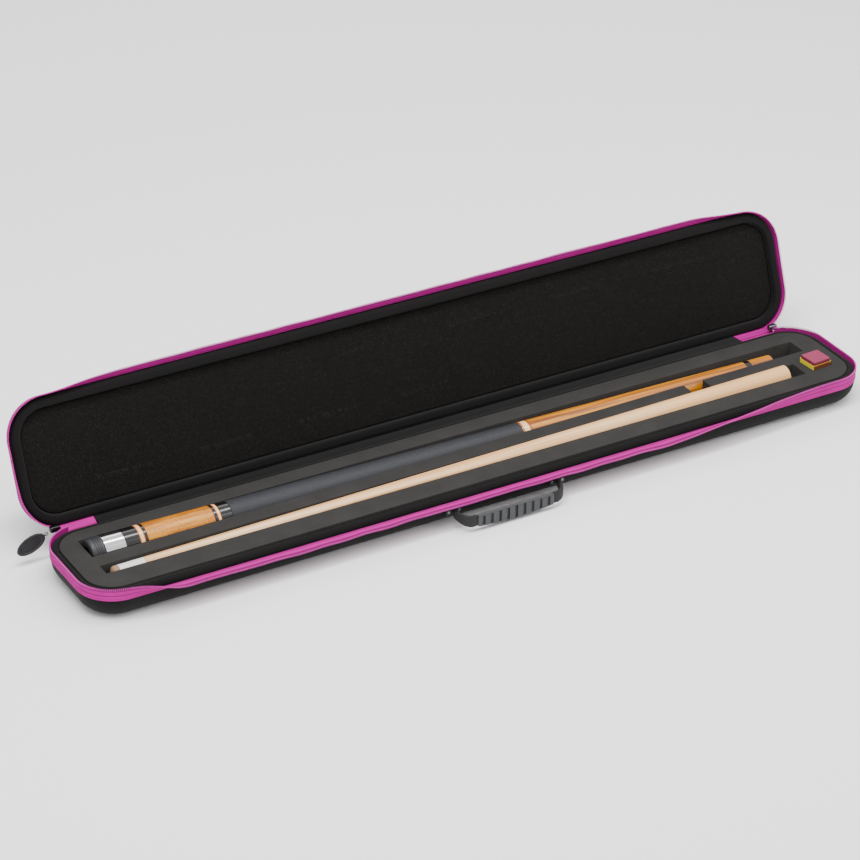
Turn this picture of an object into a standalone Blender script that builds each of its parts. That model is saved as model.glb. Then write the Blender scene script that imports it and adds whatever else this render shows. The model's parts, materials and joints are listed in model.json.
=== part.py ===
"""Soft-shell cue case standing open, with a two-piece cue and a chalk lying in its tray.

Metres, +Z up. X runs along the case, -Y is the handle side, and the origin is the centre of
the tray's flat base. The lid is modelled shut, about its hinge line, and turned open by its
pivot. Every cross-section is a list of (inset, z): the distance in from the case's outer wall
and the height over the base, which the lid measures down from the level of a base like the
tray's: its own face is shallower.
"""

import math

import bmesh
import bpy
from mathutils import Vector

# Case
CASE_LENGTH = 0.8405
CASE_WIDTH = 0.121
CORNER_RADIUS = 0.0365
CORNER_STEPS = 9
CLOSING_Z = 0.034  # the level at which the two halves meet
TRAY_EDGE = (0.0180, 0.0205)  # the round edge's width and height
LID_FACE = 0.0125
LID_EDGE = (0.0140, 0.0105)
WALL = 0.004
FLOOR = 0.0022
RIM_Z = 0.0245
GAP = 0.0003

# Lining and fillings
TRAY_LINING_INNER = 0.0079
LID_LINING_INNER = 0.0102
LINING_DEPTH = 0.0012  # how far below the rim its foot ends
LINING_LIP = 0.0004
FILL_GAP = 0.0005
TRAY_CROWN = 0.0306
LID_CROWN = 0.0290
FOAM_TOP = 0.0314
PAD_TOP = 0.0250

# Hinge: a fabric strip folds about this line, and the closed ends of the zip stop the lid
HINGE_Y = CASE_WIDTH / 2 + 0.0042
HINGE_Z = 0.0240
LID_ANGLE = math.radians(110)
STRIP_HALF = 0.3545
STRIP_THICKNESS = 0.0009

# Zip
TAPE_START = math.radians(27)  # where each tape starts, past the corner's own start
TAPE_WIDTH = 0.0090
TAPE_THICKNESS = 0.0009
SEW_Z = 0.0228
COIL_START = 0.0093
COIL_END = 0.0110
COIL_THICKNESS = 0.0018
TRAY_FLOP = math.radians(97)  # the tray's tape falls outward along the front
LID_FLARE = math.radians(47)
CHAIN_INNER = STRIP_HALF + 0.0005
CHAIN_THICKNESS = 0.0012

# Sliders and pullers
SLIDER_X = (0.3995, 0.3925)  # left, right
SLIDER_Y = 0.0680
SLIDER_Z = 0.0298
SLIDER_SIZE = (0.0100, 0.0056, 0.0062)
PIN_OFFSET = (0.0055, 0.0012, -0.0028)  # from a slider's middle, outward first
PULLER_LENGTH = 0.0300
PULLER_WIDTH = 0.0150
PULLER_THICKNESS = 0.0026
PULLER_TILT = math.radians(15)
PULLER_DROOP = (math.radians(24), math.radians(45))  # left, right
LINK_LENGTH = 0.0045

# Handle
ANCHOR_FACE_Y = -0.0637
HANDLE_PIN_Y = -0.0655
HANDLE_PIN_Z = 0.0155
ANCHOR_X = 0.056
GRIP_HALF = 0.041
GRIP_Y = (-0.0840, -0.0780)
GRIP_TOP = 0.0172
GRIP_END_BOTTOM = 0.0045
GRIP_MID_BOTTOM = 0.0018
STRAP_THICKNESS = 0.004

# Cue butt, a turned stack along X; each name is followed by where it ends
BUTT_Y = 0.0205
BUTT_Z = (0.0243, 0.0184)  # its axis at the two ends of its taper, lying on a level floor
BUTT_START = -0.3890
BUTT_RADIUS = (0.0150, 0.0102)
BUTT_TAPER = (-0.3755, 0.3575)
BUMPER_END = -0.3755
RECESS_RADIUS = 0.0064
RECESS_DEPTH = 0.0075
BUTT_STACK = (
    ("butt_cap", "polished_metal", -0.3555),
    ("cap_collar", "gloss_black", -0.3416),
    ("sleeve_rear_ring", "cream", -0.3360),
    ("sleeve_rear_trim", "gloss_black", -0.3335),
    ("butt_sleeve", "striped_wood", -0.2655),
    ("sleeve_front_trim", "gloss_black", -0.2628),
    ("sleeve_front_ring", "cream", -0.2588),
    ("wrap_collar", "gloss_black", -0.2480),
    ("grip_wrap", "wrap_cloth", 0.0650),
    ("forearm_ring", "cream", 0.0750),
    ("forearm", "amber_wood", 0.3258),
    ("joint_collar", "gloss_black", 0.3322),
    ("joint_end", "amber_wood", 0.3575),
)
PIN_END = 0.3850
PIN_RADIUS = 0.0040
BUTT_SLOT = (-0.3910, 0.3890)
BUTT_CLEARANCE = 0.0006

# Cue shaft, a cone lying on its slot's level floor
SHAFT_Y = -0.0192
TIP_X = -0.3839
FERRULE_X = -0.3767
WOOD_X = -0.3510
SHAFT_END = 0.3478
SHAFT_RADIUS = (0.0065, 0.0104)
SHAFT_FLOOR = 0.0176
SHAFT_SLOT = (-0.3916, 0.3645)
SHAFT_CLEARANCE = 0.0007
INSERT_RADIUS = 0.0050
INSERT_BORE = 0.0038
INSERT_DEPTH = 0.0140

# Chalk, its pocket and the finger notch between the slots
CHALK_X = 0.3855
CHALK_Y = -0.0165
CHALK_HALF = 0.0105
CHALK_HEIGHT = 0.0212
CHALK_TOP = 0.0386
CHALK_TURN = math.radians(4)
LABEL_GAP = 0.0003
LABEL_THICKNESS = 0.0004
LABEL_TOP = 0.0351
POCKET_HALF = 0.0118
NOTCH_X = (0.2460, 0.2685)
NOTCH_FLOOR = 0.0160

ROUND_STEPS = 24

# Colour, roughness and metallic value of each finish
FINISHES = {
    "shell_cloth": ((0.012, 0.012, 0.013), 0.85, 0.0),
    "lining_cloth": ((0.014, 0.014, 0.014), 0.9, 0.0),
    "foam": ((0.055, 0.054, 0.050), 0.95, 0.0),
    "pad_cloth": ((0.018, 0.017, 0.016), 0.95, 0.0),
    "zip_tape": ((0.45, 0.04, 0.27), 0.7, 0.0),
    "zip_coil": ((0.50, 0.05, 0.31), 0.5, 0.0),
    "hinge_cloth": ((0.012, 0.012, 0.013), 0.85, 0.0),
    "slider_metal": ((0.10, 0.10, 0.11), 0.35, 1.0),
    "puller_rubber": ((0.018, 0.018, 0.020), 0.7, 0.0),
    "handle_rubber": ((0.075, 0.080, 0.086), 0.6, 0.0),
    "strap_rubber": ((0.012, 0.012, 0.013), 0.6, 0.0),
    "bumper_rubber": ((0.035, 0.036, 0.040), 0.7, 0.0),
    "polished_metal": ((0.80, 0.80, 0.80), 0.12, 1.0),
    "gloss_black": ((0.010, 0.010, 0.011), 0.12, 0.0),
    "cream": ((0.75, 0.60, 0.40), 0.25, 0.0),
    "striped_wood": ((0.62, 0.30, 0.07), 0.25, 0.0),
    "wrap_cloth": ((0.020, 0.024, 0.032), 0.65, 0.0),
    "amber_wood": ((0.60, 0.27, 0.06), 0.25, 0.0),
    "brass": ((0.70, 0.50, 0.18), 0.3, 1.0),
    "leather": ((0.45, 0.24, 0.12), 0.8, 0.0),
    "white_plastic": ((0.85, 0.85, 0.83), 0.3, 0.0),
    "pale_maple": ((0.78, 0.60, 0.40), 0.35, 0.0),
    "chalk_pink": ((0.45, 0.13, 0.17), 0.95, 0.0),
    "label_paper": ((0.72, 0.55, 0.04), 0.6, 0.0),
}


def clear_scene():
    """Remove whatever the opened file holds."""
    for obj in list(bpy.data.objects):
        bpy.data.objects.remove(obj, do_unlink=True)


def material(name):
    """Return the finish of that name, made once."""
    found = bpy.data.materials.get(name)
    if found:
        return found
    colour, roughness, metallic = FINISHES[name]
    made = bpy.data.materials.new(name)
    made.use_nodes = True
    shader = made.node_tree.nodes["Principled BSDF"]
    shader.inputs["Base Color"].default_value = (*colour, 1)
    shader.inputs["Roughness"].default_value = roughness
    shader.inputs["Metallic"].default_value = metallic
    return made


def add_object(name, bm, finish, parent=None, sharp=40):
    """Make an object from a closed bmesh, smooth but for its sharp edges."""
    bmesh.ops.recalc_face_normals(bm, faces=bm.faces)
    mesh = bpy.data.meshes.new(name)
    bm.to_mesh(mesh)
    bm.free()
    mesh.shade_smooth()
    mesh.set_sharp_from_angle(angle=math.radians(sharp))
    mesh.materials.append(material(finish))
    obj = bpy.data.objects.new(name, mesh)
    obj.parent = parent
    bpy.context.scene.collection.objects.link(obj)
    return obj


def add_pivot(name, place, turn=(0, 0, 0)):
    """Make an empty that carries a moving piece at its joint."""
    pivot = bpy.data.objects.new(name, None)
    pivot.empty_display_size = 0.02
    pivot.location = place
    pivot.rotation_euler = turn
    bpy.context.scene.collection.objects.link(pivot)
    return pivot


def loft(loops, capped=True, bm=None):
    """Skin a row of equal loops; cap both ends, or join the last loop to the first."""
    bm = bm or bmesh.new()
    rings = [[bm.verts.new(point) for point in loop] for loop in loops]
    pairs = list(zip(rings, rings[1:]))
    if capped:
        bm.faces.new(rings[0])
        bm.faces.new(rings[-1])
    else:
        pairs.append((rings[-1], rings[0]))
    for near, far in pairs:
        for i, corner in enumerate(near):
            j = (i + 1) % len(near)
            bm.faces.new((corner, near[j], far[j], far[i]))
    return bm


def outline(inset):
    """Points of the case's rounded plan at a distance in from its outer wall."""
    centre_x = CASE_LENGTH / 2 - CORNER_RADIUS
    centre_y = CASE_WIDTH / 2 - CORNER_RADIUS
    radius = CORNER_RADIUS - inset
    points = []
    for quarter, (side_x, side_y) in enumerate(((1, 1), (-1, 1), (-1, -1), (1, -1))):
        for step in range(CORNER_STEPS + 1):
            angle = math.pi / 2 * (quarter + step / CORNER_STEPS)
            x = side_x * centre_x + radius * math.cos(angle)
            y = side_y * centre_y + radius * math.sin(angle)
            points.append((x, y))
    return points


def arc(centre_inset, centre_z, size, start, end, steps):
    """Profile points on a quarter of an ellipse of that width and height; angles in degrees
    from the wall side, turning towards +Z.
    """
    points = []
    for step in range(steps + 1):
        angle = math.radians(start + (end - start) * step / steps)
        inset = centre_inset - size[0] * math.cos(angle)
        points.append((inset, centre_z + size[1] * math.sin(angle)))
    return points


class Half:
    """One half of the case: its own depths, and what carries it."""

    def __init__(self, name, face, edge, lining_inner, crown, pivot=None):
        self.name = name
        self.face = face
        self.edge = edge
        self.lining_inner = lining_inner
        self.crown = crown
        self.pivot = pivot

    def point(self, x, y, z):
        """Place a point given for a tray; the lid's is mirrored and taken from the hinge."""
        if self.pivot is None:
            return Vector((x, y, z))
        return Vector((x, y - HINGE_Y, 2 * CLOSING_Z - z - HINGE_Z))

    def ring(self, inset, z):
        """Place the case's plan outline at an inset and a height."""
        return [self.point(x, y, z) for x, y in outline(inset)]


def make_shell(half):
    """Moulded shell: rounded foot, upright wall, open rim and hollow inside."""
    width, height = half.edge
    inner = (width - WALL, height - WALL)
    profile = arc(width, half.face + height, half.edge, -90, 0, 6)
    profile += [(0, RIM_Z), (WALL, RIM_Z)]
    profile += arc(width, half.face + FLOOR + inner[1], inner, 0, -90, 5)
    loops = [half.ring(inset, z) for inset, z in profile]
    return add_object(half.name + "_shell", loft(loops), "shell_cloth", half.pivot)


def make_lining(half):
    """Padded collar between the shell's wall and the filling, lapping over the rim."""
    inner = half.lining_inner
    foot = RIM_Z - LINING_DEPTH
    profile = (
        (inner, foot),
        (inner, half.crown - 0.0012),
        (inner - 0.0014, half.crown),
        (0.0045, half.crown - 0.0016),
        (0.0015, RIM_Z + 0.0027),
        (LINING_LIP, RIM_Z + 0.0017),
        (LINING_LIP, RIM_Z + GAP),
        (WALL + GAP, RIM_Z + GAP),
        (WALL + GAP, foot),
    )
    loops = [half.ring(inset, z) for inset, z in profile]
    return add_object(half.name + "_lining", loft(loops, capped=False), "lining_cloth", half.pivot)


def make_filling(half, name, top, finish):
    """Block that fills the half inside its lining, its foot cut to the shell's round corner."""
    width, height = half.edge
    inner = (width - WALL, height - WALL)
    floor = half.face + FLOOR
    steps = 4
    profile = []
    for inset, z in arc(width, floor + inner[1], inner, -90, 0, steps):
        inset = max(inset + GAP, half.lining_inner + FILL_GAP)
        profile.append((inset, z + GAP))
    profile.append((half.lining_inner + FILL_GAP, top))
    loops = [half.ring(inset, z) for inset, z in profile]
    return add_object(name, loft(loops), finish, half.pivot)


def smooth_step(value, low, high):
    """Ease from 0 at low to 1 at high."""
    share = min(max((value - low) / (high - low), 0), 1)
    return share * share * (3 - 2 * share)


def tray_flop(x, y):
    """Outward fall of the tray's tape: flat along the front, upright round the ends."""
    if y > 0:
        return 0
    return TRAY_FLOP * min(smooth_step(x, -0.395, -0.325), 1 - smooth_step(x, 0.17, 0.385))


def lid_flare(x, y):
    """Outward lean of the lid's tape: most along the front."""
    if y > 0:
        return math.radians(5)
    return math.radians(5) + (LID_FLARE - math.radians(5)) * (1 - smooth_step(abs(x), 0.25, 0.39))


def zip_route():
    """Points and outward directions along the rim, from one back corner round the front."""
    centre_x = CASE_LENGTH / 2 - CORNER_RADIUS
    centre_y = CASE_WIDTH / 2 - CORNER_RADIUS
    first = math.pi / 2 + TAPE_START
    left_back = [first + (math.pi - first) * i / 6 for i in range(7)]
    left_front = [math.pi + math.pi / 2 * i / 10 for i in range(11)]
    route = [(-centre_x, centre_y, angle) for angle in left_back]
    route += [(-centre_x, -centre_y, angle) for angle in left_front]
    route += [(-centre_x + 2 * centre_x * i / 36, -centre_y, math.pi * 1.5) for i in range(1, 36)]
    route += [(-x, y, math.pi - angle) for x, y, angle in reversed(route[:18])]
    return [
        (x + CORNER_RADIUS * math.cos(a), y + CORNER_RADIUS * math.sin(a), math.cos(a), math.sin(a))
        for x, y, a in route
    ]


def make_zip_band(half, part, lean, start, end, thickness, finish):
    """Band of the zip between two distances from the seam, leaning outward as told."""
    loops = []
    pivot_out = GAP + TAPE_THICKNESS / 2
    for x, y, out_x, out_y in zip_route():
        angle = lean(x, y)
        along = (math.sin(angle), math.cos(angle))
        across = (math.cos(angle), -math.sin(angle))
        loop = []
        for distance, side in ((start, -1), (end, -1), (end, 1), (start, 1)):
            out = pivot_out + distance * along[0] + side * thickness / 2 * across[0]
            z = SEW_Z + distance * along[1] + side * thickness / 2 * across[1]
            loop.append(half.point(x + out * out_x, y + out * out_y, z))
        loops.append(loop)
    return add_object(half.name + part, loft(loops), finish, half.pivot)


def ribbon_loop(path, thickness):
    """Closed section round a flat path of (y, z) points."""
    near, far = [], []
    for i, (y, z) in enumerate(path):
        before, after = path[max(i - 1, 0)], path[min(i + 1, len(path) - 1)]
        run = Vector((after[0] - before[0], after[1] - before[1])).normalized()
        offset = Vector((-run.y, run.x)) * thickness / 2
        near.append((y + offset.x, z + offset.y))
        far.append((y - offset.x, z - offset.y))
    return near + far[::-1]


def make_back_strip(name, low, high, thickness, finish):
    """Strip of fabric or closed zip that joins the two halves behind, folded while open."""
    wall = CASE_WIDTH / 2
    path = (
        (wall + 0.0011, SEW_Z),
        (wall + 0.0014, 0.0246),
        (wall + 0.0029, 0.0262),
        (wall + 0.0060, 0.0268),
        (wall + 0.0105, 0.0260),
        (wall + 0.0160, 0.0238),
        (wall + 0.0210, 0.0216),
        (wall + 0.0252, 0.0200),
    )
    loop = ribbon_loop(path, thickness)
    loops = [[Vector((x, y, z)) for y, z in loop] for x in (low, high)]
    return add_object(name, loft(loops), finish)


def slider_place(side):
    """Middle of the slider at the left (-1) or the right (1) back corner."""
    return Vector((side * SLIDER_X[side > 0], SLIDER_Y, SLIDER_Z))


def make_slider(name, side):
    """Zip slider at one back corner, its body rounded by a bevel."""
    bm = bmesh.new()
    bmesh.ops.create_cube(bm, size=1)
    bmesh.ops.scale(bm, vec=SLIDER_SIZE, verts=bm.verts)
    bmesh.ops.bevel(bm, geom=bm.edges, offset=0.0018, segments=2, profile=0.5, affect="EDGES")
    slider = add_object(name, bm, "slider_metal")
    slider.location = slider_place(side)
    return slider


def make_puller(name, side, droop):
    """Rubber pull with a waisted neck and its wire link, hung from a pin on the slider."""
    outward, back, up = PIN_OFFSET
    pivot = add_pivot(name + "_pivot", slider_place(side) + Vector((side * outward, back, up)))
    outline_points = []
    half_width = PULLER_WIDTH / 2
    middle = LINK_LENGTH + PULLER_LENGTH / 2
    for step in range(20):
        angle = 2 * math.pi * step / 20
        along = middle + PULLER_LENGTH / 2 * math.cos(angle)
        outline_points.append((along, half_width * math.sin(angle)))
    axis = Vector((side * math.cos(droop), 0, -math.sin(droop)))
    width = Vector((side * math.sin(droop) * math.cos(PULLER_TILT), math.sin(PULLER_TILT), 0))
    width.z = math.cos(droop) * math.cos(PULLER_TILT)
    thick = axis.cross(width).normalized() * PULLER_THICKNESS / 2
    loops = [[axis * a + width * w + thick * face for a, w in outline_points] for face in (-1, 1)]
    add_object(name, loft(loops), "puller_rubber", pivot, sharp=60)
    link_half = 0.0016
    link_loops = []
    for along in (0.0008, LINK_LENGTH - GAP):
        corners = ((-1, -1), (1, -1), (1, 1), (-1, 1))
        loop = [axis * along + width * (a * link_half) + thick * (b * 0.5) for a, b in corners]
        link_loops.append(loop)
    add_object(name + "_link", loft(link_loops), "slider_metal", pivot)


def make_handle():
    """Moulded carry handle on two anchors: a ribbed grip between two tapering end pieces."""
    pivot = add_pivot("handle_pivot", (0, HANDLE_PIN_Y, HANDLE_PIN_Z))
    stations = 13
    loops = []
    for i in range(stations):
        x = -GRIP_HALF + 2 * GRIP_HALF * i / (stations - 1)
        bow = 1 - (x / GRIP_HALF) ** 2
        bottom = GRIP_END_BOTTOM + (GRIP_MID_BOTTOM - GRIP_END_BOTTOM) * bow
        back, front, round_off = GRIP_Y[1], GRIP_Y[0], 0.0015
        corners = (
            (back, bottom + round_off),
            (back - round_off, bottom),
            (front + round_off, bottom),
            (front, bottom + round_off),
            (front, GRIP_TOP - round_off),
            (front + round_off, GRIP_TOP),
            (back - round_off, GRIP_TOP),
            (back, GRIP_TOP - round_off),
        )
        loops.append([Vector((x, y - HANDLE_PIN_Y, z - HANDLE_PIN_Z)) for y, z in corners])
    add_object("handle_grip", loft(loops), "handle_rubber", pivot)

    grip_end = GRIP_HALF + GAP
    middle_y = (GRIP_Y[0] + GRIP_Y[1]) / 2
    nose_y = HANDLE_PIN_Y + 0.0012
    knee_y = HANDLE_PIN_Y - 0.0042
    half = STRAP_THICKNESS / 2
    sections = (
        ((ANCHOR_X + half, nose_y), (ANCHOR_X - half, nose_y), 0.0145, 0.0165),
        ((ANCHOR_X + half, HANDLE_PIN_Y), (ANCHOR_X - half, HANDLE_PIN_Y), 0.0118, 0.0192),
        ((ANCHOR_X + half, knee_y), (ANCHOR_X - half, knee_y + 0.0015), 0.0085, 0.0183),
        ((grip_end + 0.0022, middle_y - half), (grip_end + 0.0006, middle_y + half), 0.0052, 0.0171),
        ((grip_end, middle_y - half), (grip_end, middle_y + half), 0.0046, 0.0171),
    )
    for name, side in (("handle_end_left", -1), ("handle_end_right", 1)):
        loops = []
        for outer, inner, low, high in sections:
            corners = ((outer, low), (inner, low), (inner, high), (outer, high))
            loops.append([
                Vector((side * x, y - HANDLE_PIN_Y, z - HANDLE_PIN_Z)) for (x, y), z in corners
            ])
        add_object(name, loft(loops), "strap_rubber", pivot)


def make_anchors():
    """Two plates on the front wall that the handle hangs from, with their rivets."""
    plate_y = (-CASE_WIDTH / 2 - GAP, ANCHOR_FACE_Y)
    for name, side in (("handle_anchor_left", -1), ("handle_anchor_right", 1)):
        bm = bmesh.new()
        bmesh.ops.create_cube(bm, size=1)
        bmesh.ops.scale(bm, vec=(0.017, plate_y[0] - plate_y[1], 0.0100), verts=bm.verts)
        upright = [e for e in bm.edges if abs(e.verts[0].co.y - e.verts[1].co.y) > 0.001]
        bmesh.ops.bevel(bm, geom=upright, offset=0.002, segments=3, profile=0.5, affect="EDGES")
        plate = add_object(name, bm, "strap_rubber")
        plate.location = (side * ANCHOR_X, (plate_y[0] + plate_y[1]) / 2, 0.0160)
    rivet_x = (-ANCHOR_X - 0.0055, -ANCHOR_X + 0.0055, ANCHOR_X - 0.0055, ANCHOR_X + 0.0055)
    for number, x in enumerate(rivet_x, 1):
        loops = []
        for out, radius in ((GAP, 0.0016), (0.0007, 0.0016), (0.0011, 0.0010)):
            turns = [2 * math.pi * i / 12 for i in range(12)]
            loops.append([
                Vector((x + radius * math.cos(a), plate_y[1] - out, 0.0160 + radius * math.sin(a)))
                for a in turns
            ])
        add_object(f"handle_rivet_{number}", loft(loops), "slider_metal")


def turned(name, stations, finish, parent):
    """Turned piece along X from (x, radius) stations, flat at both ends."""
    loops = []
    for x, radius in stations:
        turns = [2 * math.pi * i / ROUND_STEPS for i in range(ROUND_STEPS)]
        loops.append([Vector((x, radius * math.cos(a), radius * math.sin(a))) for a in turns])
    return add_object(name, loft(loops), finish, parent)


def taper(x, span, radii):
    """Radius at x on a straight taper."""
    share = (x - span[0]) / (span[1] - span[0])
    return radii[0] + (radii[1] - radii[0]) * min(max(share, 0), 1)


def make_butt():
    """Turned butt of the cue, bumper at -X and joint pin at +X, tilted by its own taper."""
    drop = math.atan((BUTT_Z[0] - BUTT_Z[1]) / (BUTT_TAPER[1] - BUTT_TAPER[0]))
    seat = add_pivot("butt_seat", (BUTT_TAPER[0], BUTT_Y, BUTT_Z[0]), (0, drop, 0))

    def measured(*along):
        """Stations with their places taken from the seat."""
        return [(x - BUTT_TAPER[0], radius) for x, radius in along]

    rim = BUTT_RADIUS[0]
    bumper = (
        (BUTT_START + RECESS_DEPTH, RECESS_RADIUS),
        (BUTT_START, RECESS_RADIUS),
        (BUTT_START, rim - 0.0022),
        (BUTT_START + 0.0020, rim - 0.0004),
        (BUMPER_END - GAP, rim - 0.0002),
    )
    turned("bumper", measured(*bumper), "bumper_rubber", seat)
    start = BUMPER_END
    for name, finish, end in BUTT_STACK:
        stations = [(x, taper(x, BUTT_TAPER, BUTT_RADIUS)) for x in (start, end - GAP)]
        turned(name, measured(*stations), finish, seat)
        start = end
    pin = ((start, PIN_RADIUS), (PIN_END - 0.0015, PIN_RADIUS), (PIN_END, PIN_RADIUS - 0.0012))
    turned("joint_pin", measured(*pin), "brass", seat)


def make_shaft():
    """Turned shaft of the cue, tip at -X, tilted by its own taper."""
    span = (FERRULE_X, SHAFT_END)
    rise = math.atan((SHAFT_RADIUS[1] - SHAFT_RADIUS[0]) / (SHAFT_END - FERRULE_X))
    seat_z = SHAFT_FLOOR + GAP + SHAFT_RADIUS[0]
    seat = add_pivot("shaft_seat", (FERRULE_X, SHAFT_Y, seat_z), (0, -rise, 0))

    def stations(*along):
        """Stations on the shaft's taper, measured from the seat."""
        return [(x - FERRULE_X, taper(x, span, SHAFT_RADIUS)) for x in along]

    tip_length = FERRULE_X - TIP_X
    radius = SHAFT_RADIUS[0]
    tip = (
        (-tip_length, radius * 0.35),
        (-tip_length + 0.0007, radius * 0.66),
        (-tip_length + 0.0020, radius * 0.90),
        (-tip_length + 0.0038, radius),
        (-GAP, radius),
    )
    turned("cue_tip", tip, "leather", seat)
    turned("ferrule", stations(FERRULE_X, WOOD_X - GAP), "white_plastic", seat)
    bore = ((SHAFT_END, INSERT_RADIUS + GAP), (SHAFT_END - INSERT_DEPTH, INSERT_RADIUS + GAP))
    wood = stations(WOOD_X, SHAFT_END) + [(x - FERRULE_X, r) for x, r in bore]
    turned("shaft_wood", wood, "pale_maple", seat)
    deep, mouth = SHAFT_END - INSERT_DEPTH + GAP, SHAFT_END - GAP
    insert = ((deep + 0.002, INSERT_BORE), (mouth, INSERT_BORE), (mouth, INSERT_RADIUS))
    insert += ((deep, INSERT_RADIUS),)
    insert = [(x - FERRULE_X, r) for x, r in insert]
    turned("shaft_insert", insert, "brass", seat)


def square_loop(half, z):
    """Square loop about the origin at a height."""
    return [Vector((half * a, half * b, z)) for a, b in ((-1, -1), (1, -1), (1, 1), (-1, 1))]


def make_chalk():
    """Chalk cube and the paper label glued round its sides."""
    place = (CHALK_X, CHALK_Y, 0)
    bottom = CHALK_TOP - CHALK_HEIGHT
    loops = [square_loop(CHALK_HALF, bottom), square_loop(CHALK_HALF, CHALK_TOP - 0.0006)]
    loops.append(square_loop(CHALK_HALF - 0.0006, CHALK_TOP))
    chalk = add_object("chalk_cube", loft(loops), "chalk_pink")
    inner = CHALK_HALF + LABEL_GAP
    outer = inner + LABEL_THICKNESS
    walls = ((inner, bottom), (outer, bottom), (outer, LABEL_TOP), (inner, LABEL_TOP))
    label_loops = [square_loop(half, z) for half, z in walls]
    label = add_object("chalk_label", loft(label_loops, capped=False), "label_paper")
    for obj in (chalk, label):
        obj.location = place
        obj.rotation_euler = (0, 0, CHALK_TURN)


def make_cutter(name, loops, place=(0, 0, 0), turn=0.0):
    """Closed shape that is only taken away from the foam."""
    cutter = add_object(name, loft(loops), "foam")
    cutter.location = place
    cutter.rotation_euler = (0, 0, turn)
    cutter.display_type = "WIRE"
    cutter.hide_render = True
    return cutter


def slot_loops(ends, middle_y, halves, floors):
    """Loops of a tapered slot at its two ends, reaching above the foam."""
    loops = []
    for x, half, floor in zip(ends, halves, floors):
        corners = ((-half, floor), (half, floor), (half, 0.045), (-half, 0.045))
        loops.append([Vector((x, middle_y + y, z)) for y, z in corners])
    return loops


def cut_foam(foam):
    """Cut the two cue slots, the finger notch and the chalk pocket into the foam."""
    radii = [taper(x, BUTT_TAPER, BUTT_RADIUS) for x in BUTT_SLOT]
    halves = [radius + BUTT_CLEARANCE for radius in radii]
    axis = [taper(x, BUTT_TAPER, BUTT_Z) for x in BUTT_SLOT]
    floors = [z - radius - BUTT_CLEARANCE for z, radius in zip(axis, radii)]
    butt = make_cutter("butt_slot_cutter", slot_loops(BUTT_SLOT, BUTT_Y, halves, floors))
    span = (FERRULE_X, SHAFT_END)
    halves = [taper(x, span, SHAFT_RADIUS) + SHAFT_CLEARANCE for x in SHAFT_SLOT]
    floors = (SHAFT_FLOOR, SHAFT_FLOOR)
    shaft = make_cutter("shaft_slot_cutter", slot_loops(SHAFT_SLOT, SHAFT_Y, halves, floors))
    notch_y = (SHAFT_Y, BUTT_Y)
    middle = sum(notch_y) / 2
    half = (notch_y[1] - notch_y[0]) / 2
    notch = slot_loops(NOTCH_X, middle, (half, half), (NOTCH_FLOOR, NOTCH_FLOOR))
    notch = make_cutter("notch_cutter", notch)
    pocket_floor = CHALK_TOP - CHALK_HEIGHT - 2 * GAP
    pocket = [square_loop(POCKET_HALF, z) for z in (pocket_floor, 0.045)]
    pocket = make_cutter("chalk_pocket_cutter", pocket, (CHALK_X, CHALK_Y, 0), CHALK_TURN)
    for cutter in (butt, shaft, notch, pocket):
        cut = foam.modifiers.new(cutter.name, "BOOLEAN")
        cut.operation = "DIFFERENCE"
        cut.solver = "EXACT"
        cut.object = cutter


def main():
    """Build the case and its contents."""
    clear_scene()
    tray = Half("tray", 0.0, TRAY_EDGE, TRAY_LINING_INNER, TRAY_CROWN)
    pivot = add_pivot("lid_pivot", (0, HINGE_Y, HINGE_Z), (-LID_ANGLE, 0, 0))
    lid = Half("lid", LID_FACE, LID_EDGE, LID_LINING_INNER, LID_CROWN, pivot)
    for half, lean in ((tray, tray_flop), (lid, lid_flare)):
        make_shell(half)
        make_lining(half)
        make_zip_band(half, "_zip_tape", lean, 0, TAPE_WIDTH, TAPE_THICKNESS, "zip_tape")
        make_zip_band(half, "_zip_coil", lean, COIL_START, COIL_END, COIL_THICKNESS, "zip_coil")
    foam = make_filling(tray, "tray_foam", FOAM_TOP, "foam")
    cut_foam(foam)
    make_filling(lid, "lid_pad", PAD_TOP, "pad_cloth")
    make_back_strip("hinge_strip", -STRIP_HALF, STRIP_HALF, STRIP_THICKNESS, "hinge_cloth")
    left_end, right_end = (x - SLIDER_SIZE[0] / 2 - GAP for x in SLIDER_X)
    make_back_strip("zip_chain_left", -left_end, -CHAIN_INNER, CHAIN_THICKNESS, "zip_tape")
    make_back_strip("zip_chain_right", CHAIN_INNER, right_end, CHAIN_THICKNESS, "zip_tape")
    for side, word, droop in ((-1, "left", PULLER_DROOP[0]), (1, "right", PULLER_DROOP[1])):
        make_slider("slider_" + word, side)
        make_puller("puller_" + word, side, droop)
    make_anchors()
    make_handle()
    make_butt()
    make_shaft()
    make_chalk()


main()
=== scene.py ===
"""Looks of a soft-shell cue case standing open with a two-piece cue and a chalk in its tray.

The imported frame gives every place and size. New surfaces are laid round it with numpy: a
profile carried round the case's plan, a profile turned about a cue's axis, or a section
carried along a line. Metres, +Z up, +X along the case, -Y the handle side.
"""

from __future__ import annotations

import json
import logging
import math
from dataclasses import dataclass
from enum import Enum
from typing import Sequence

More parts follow.
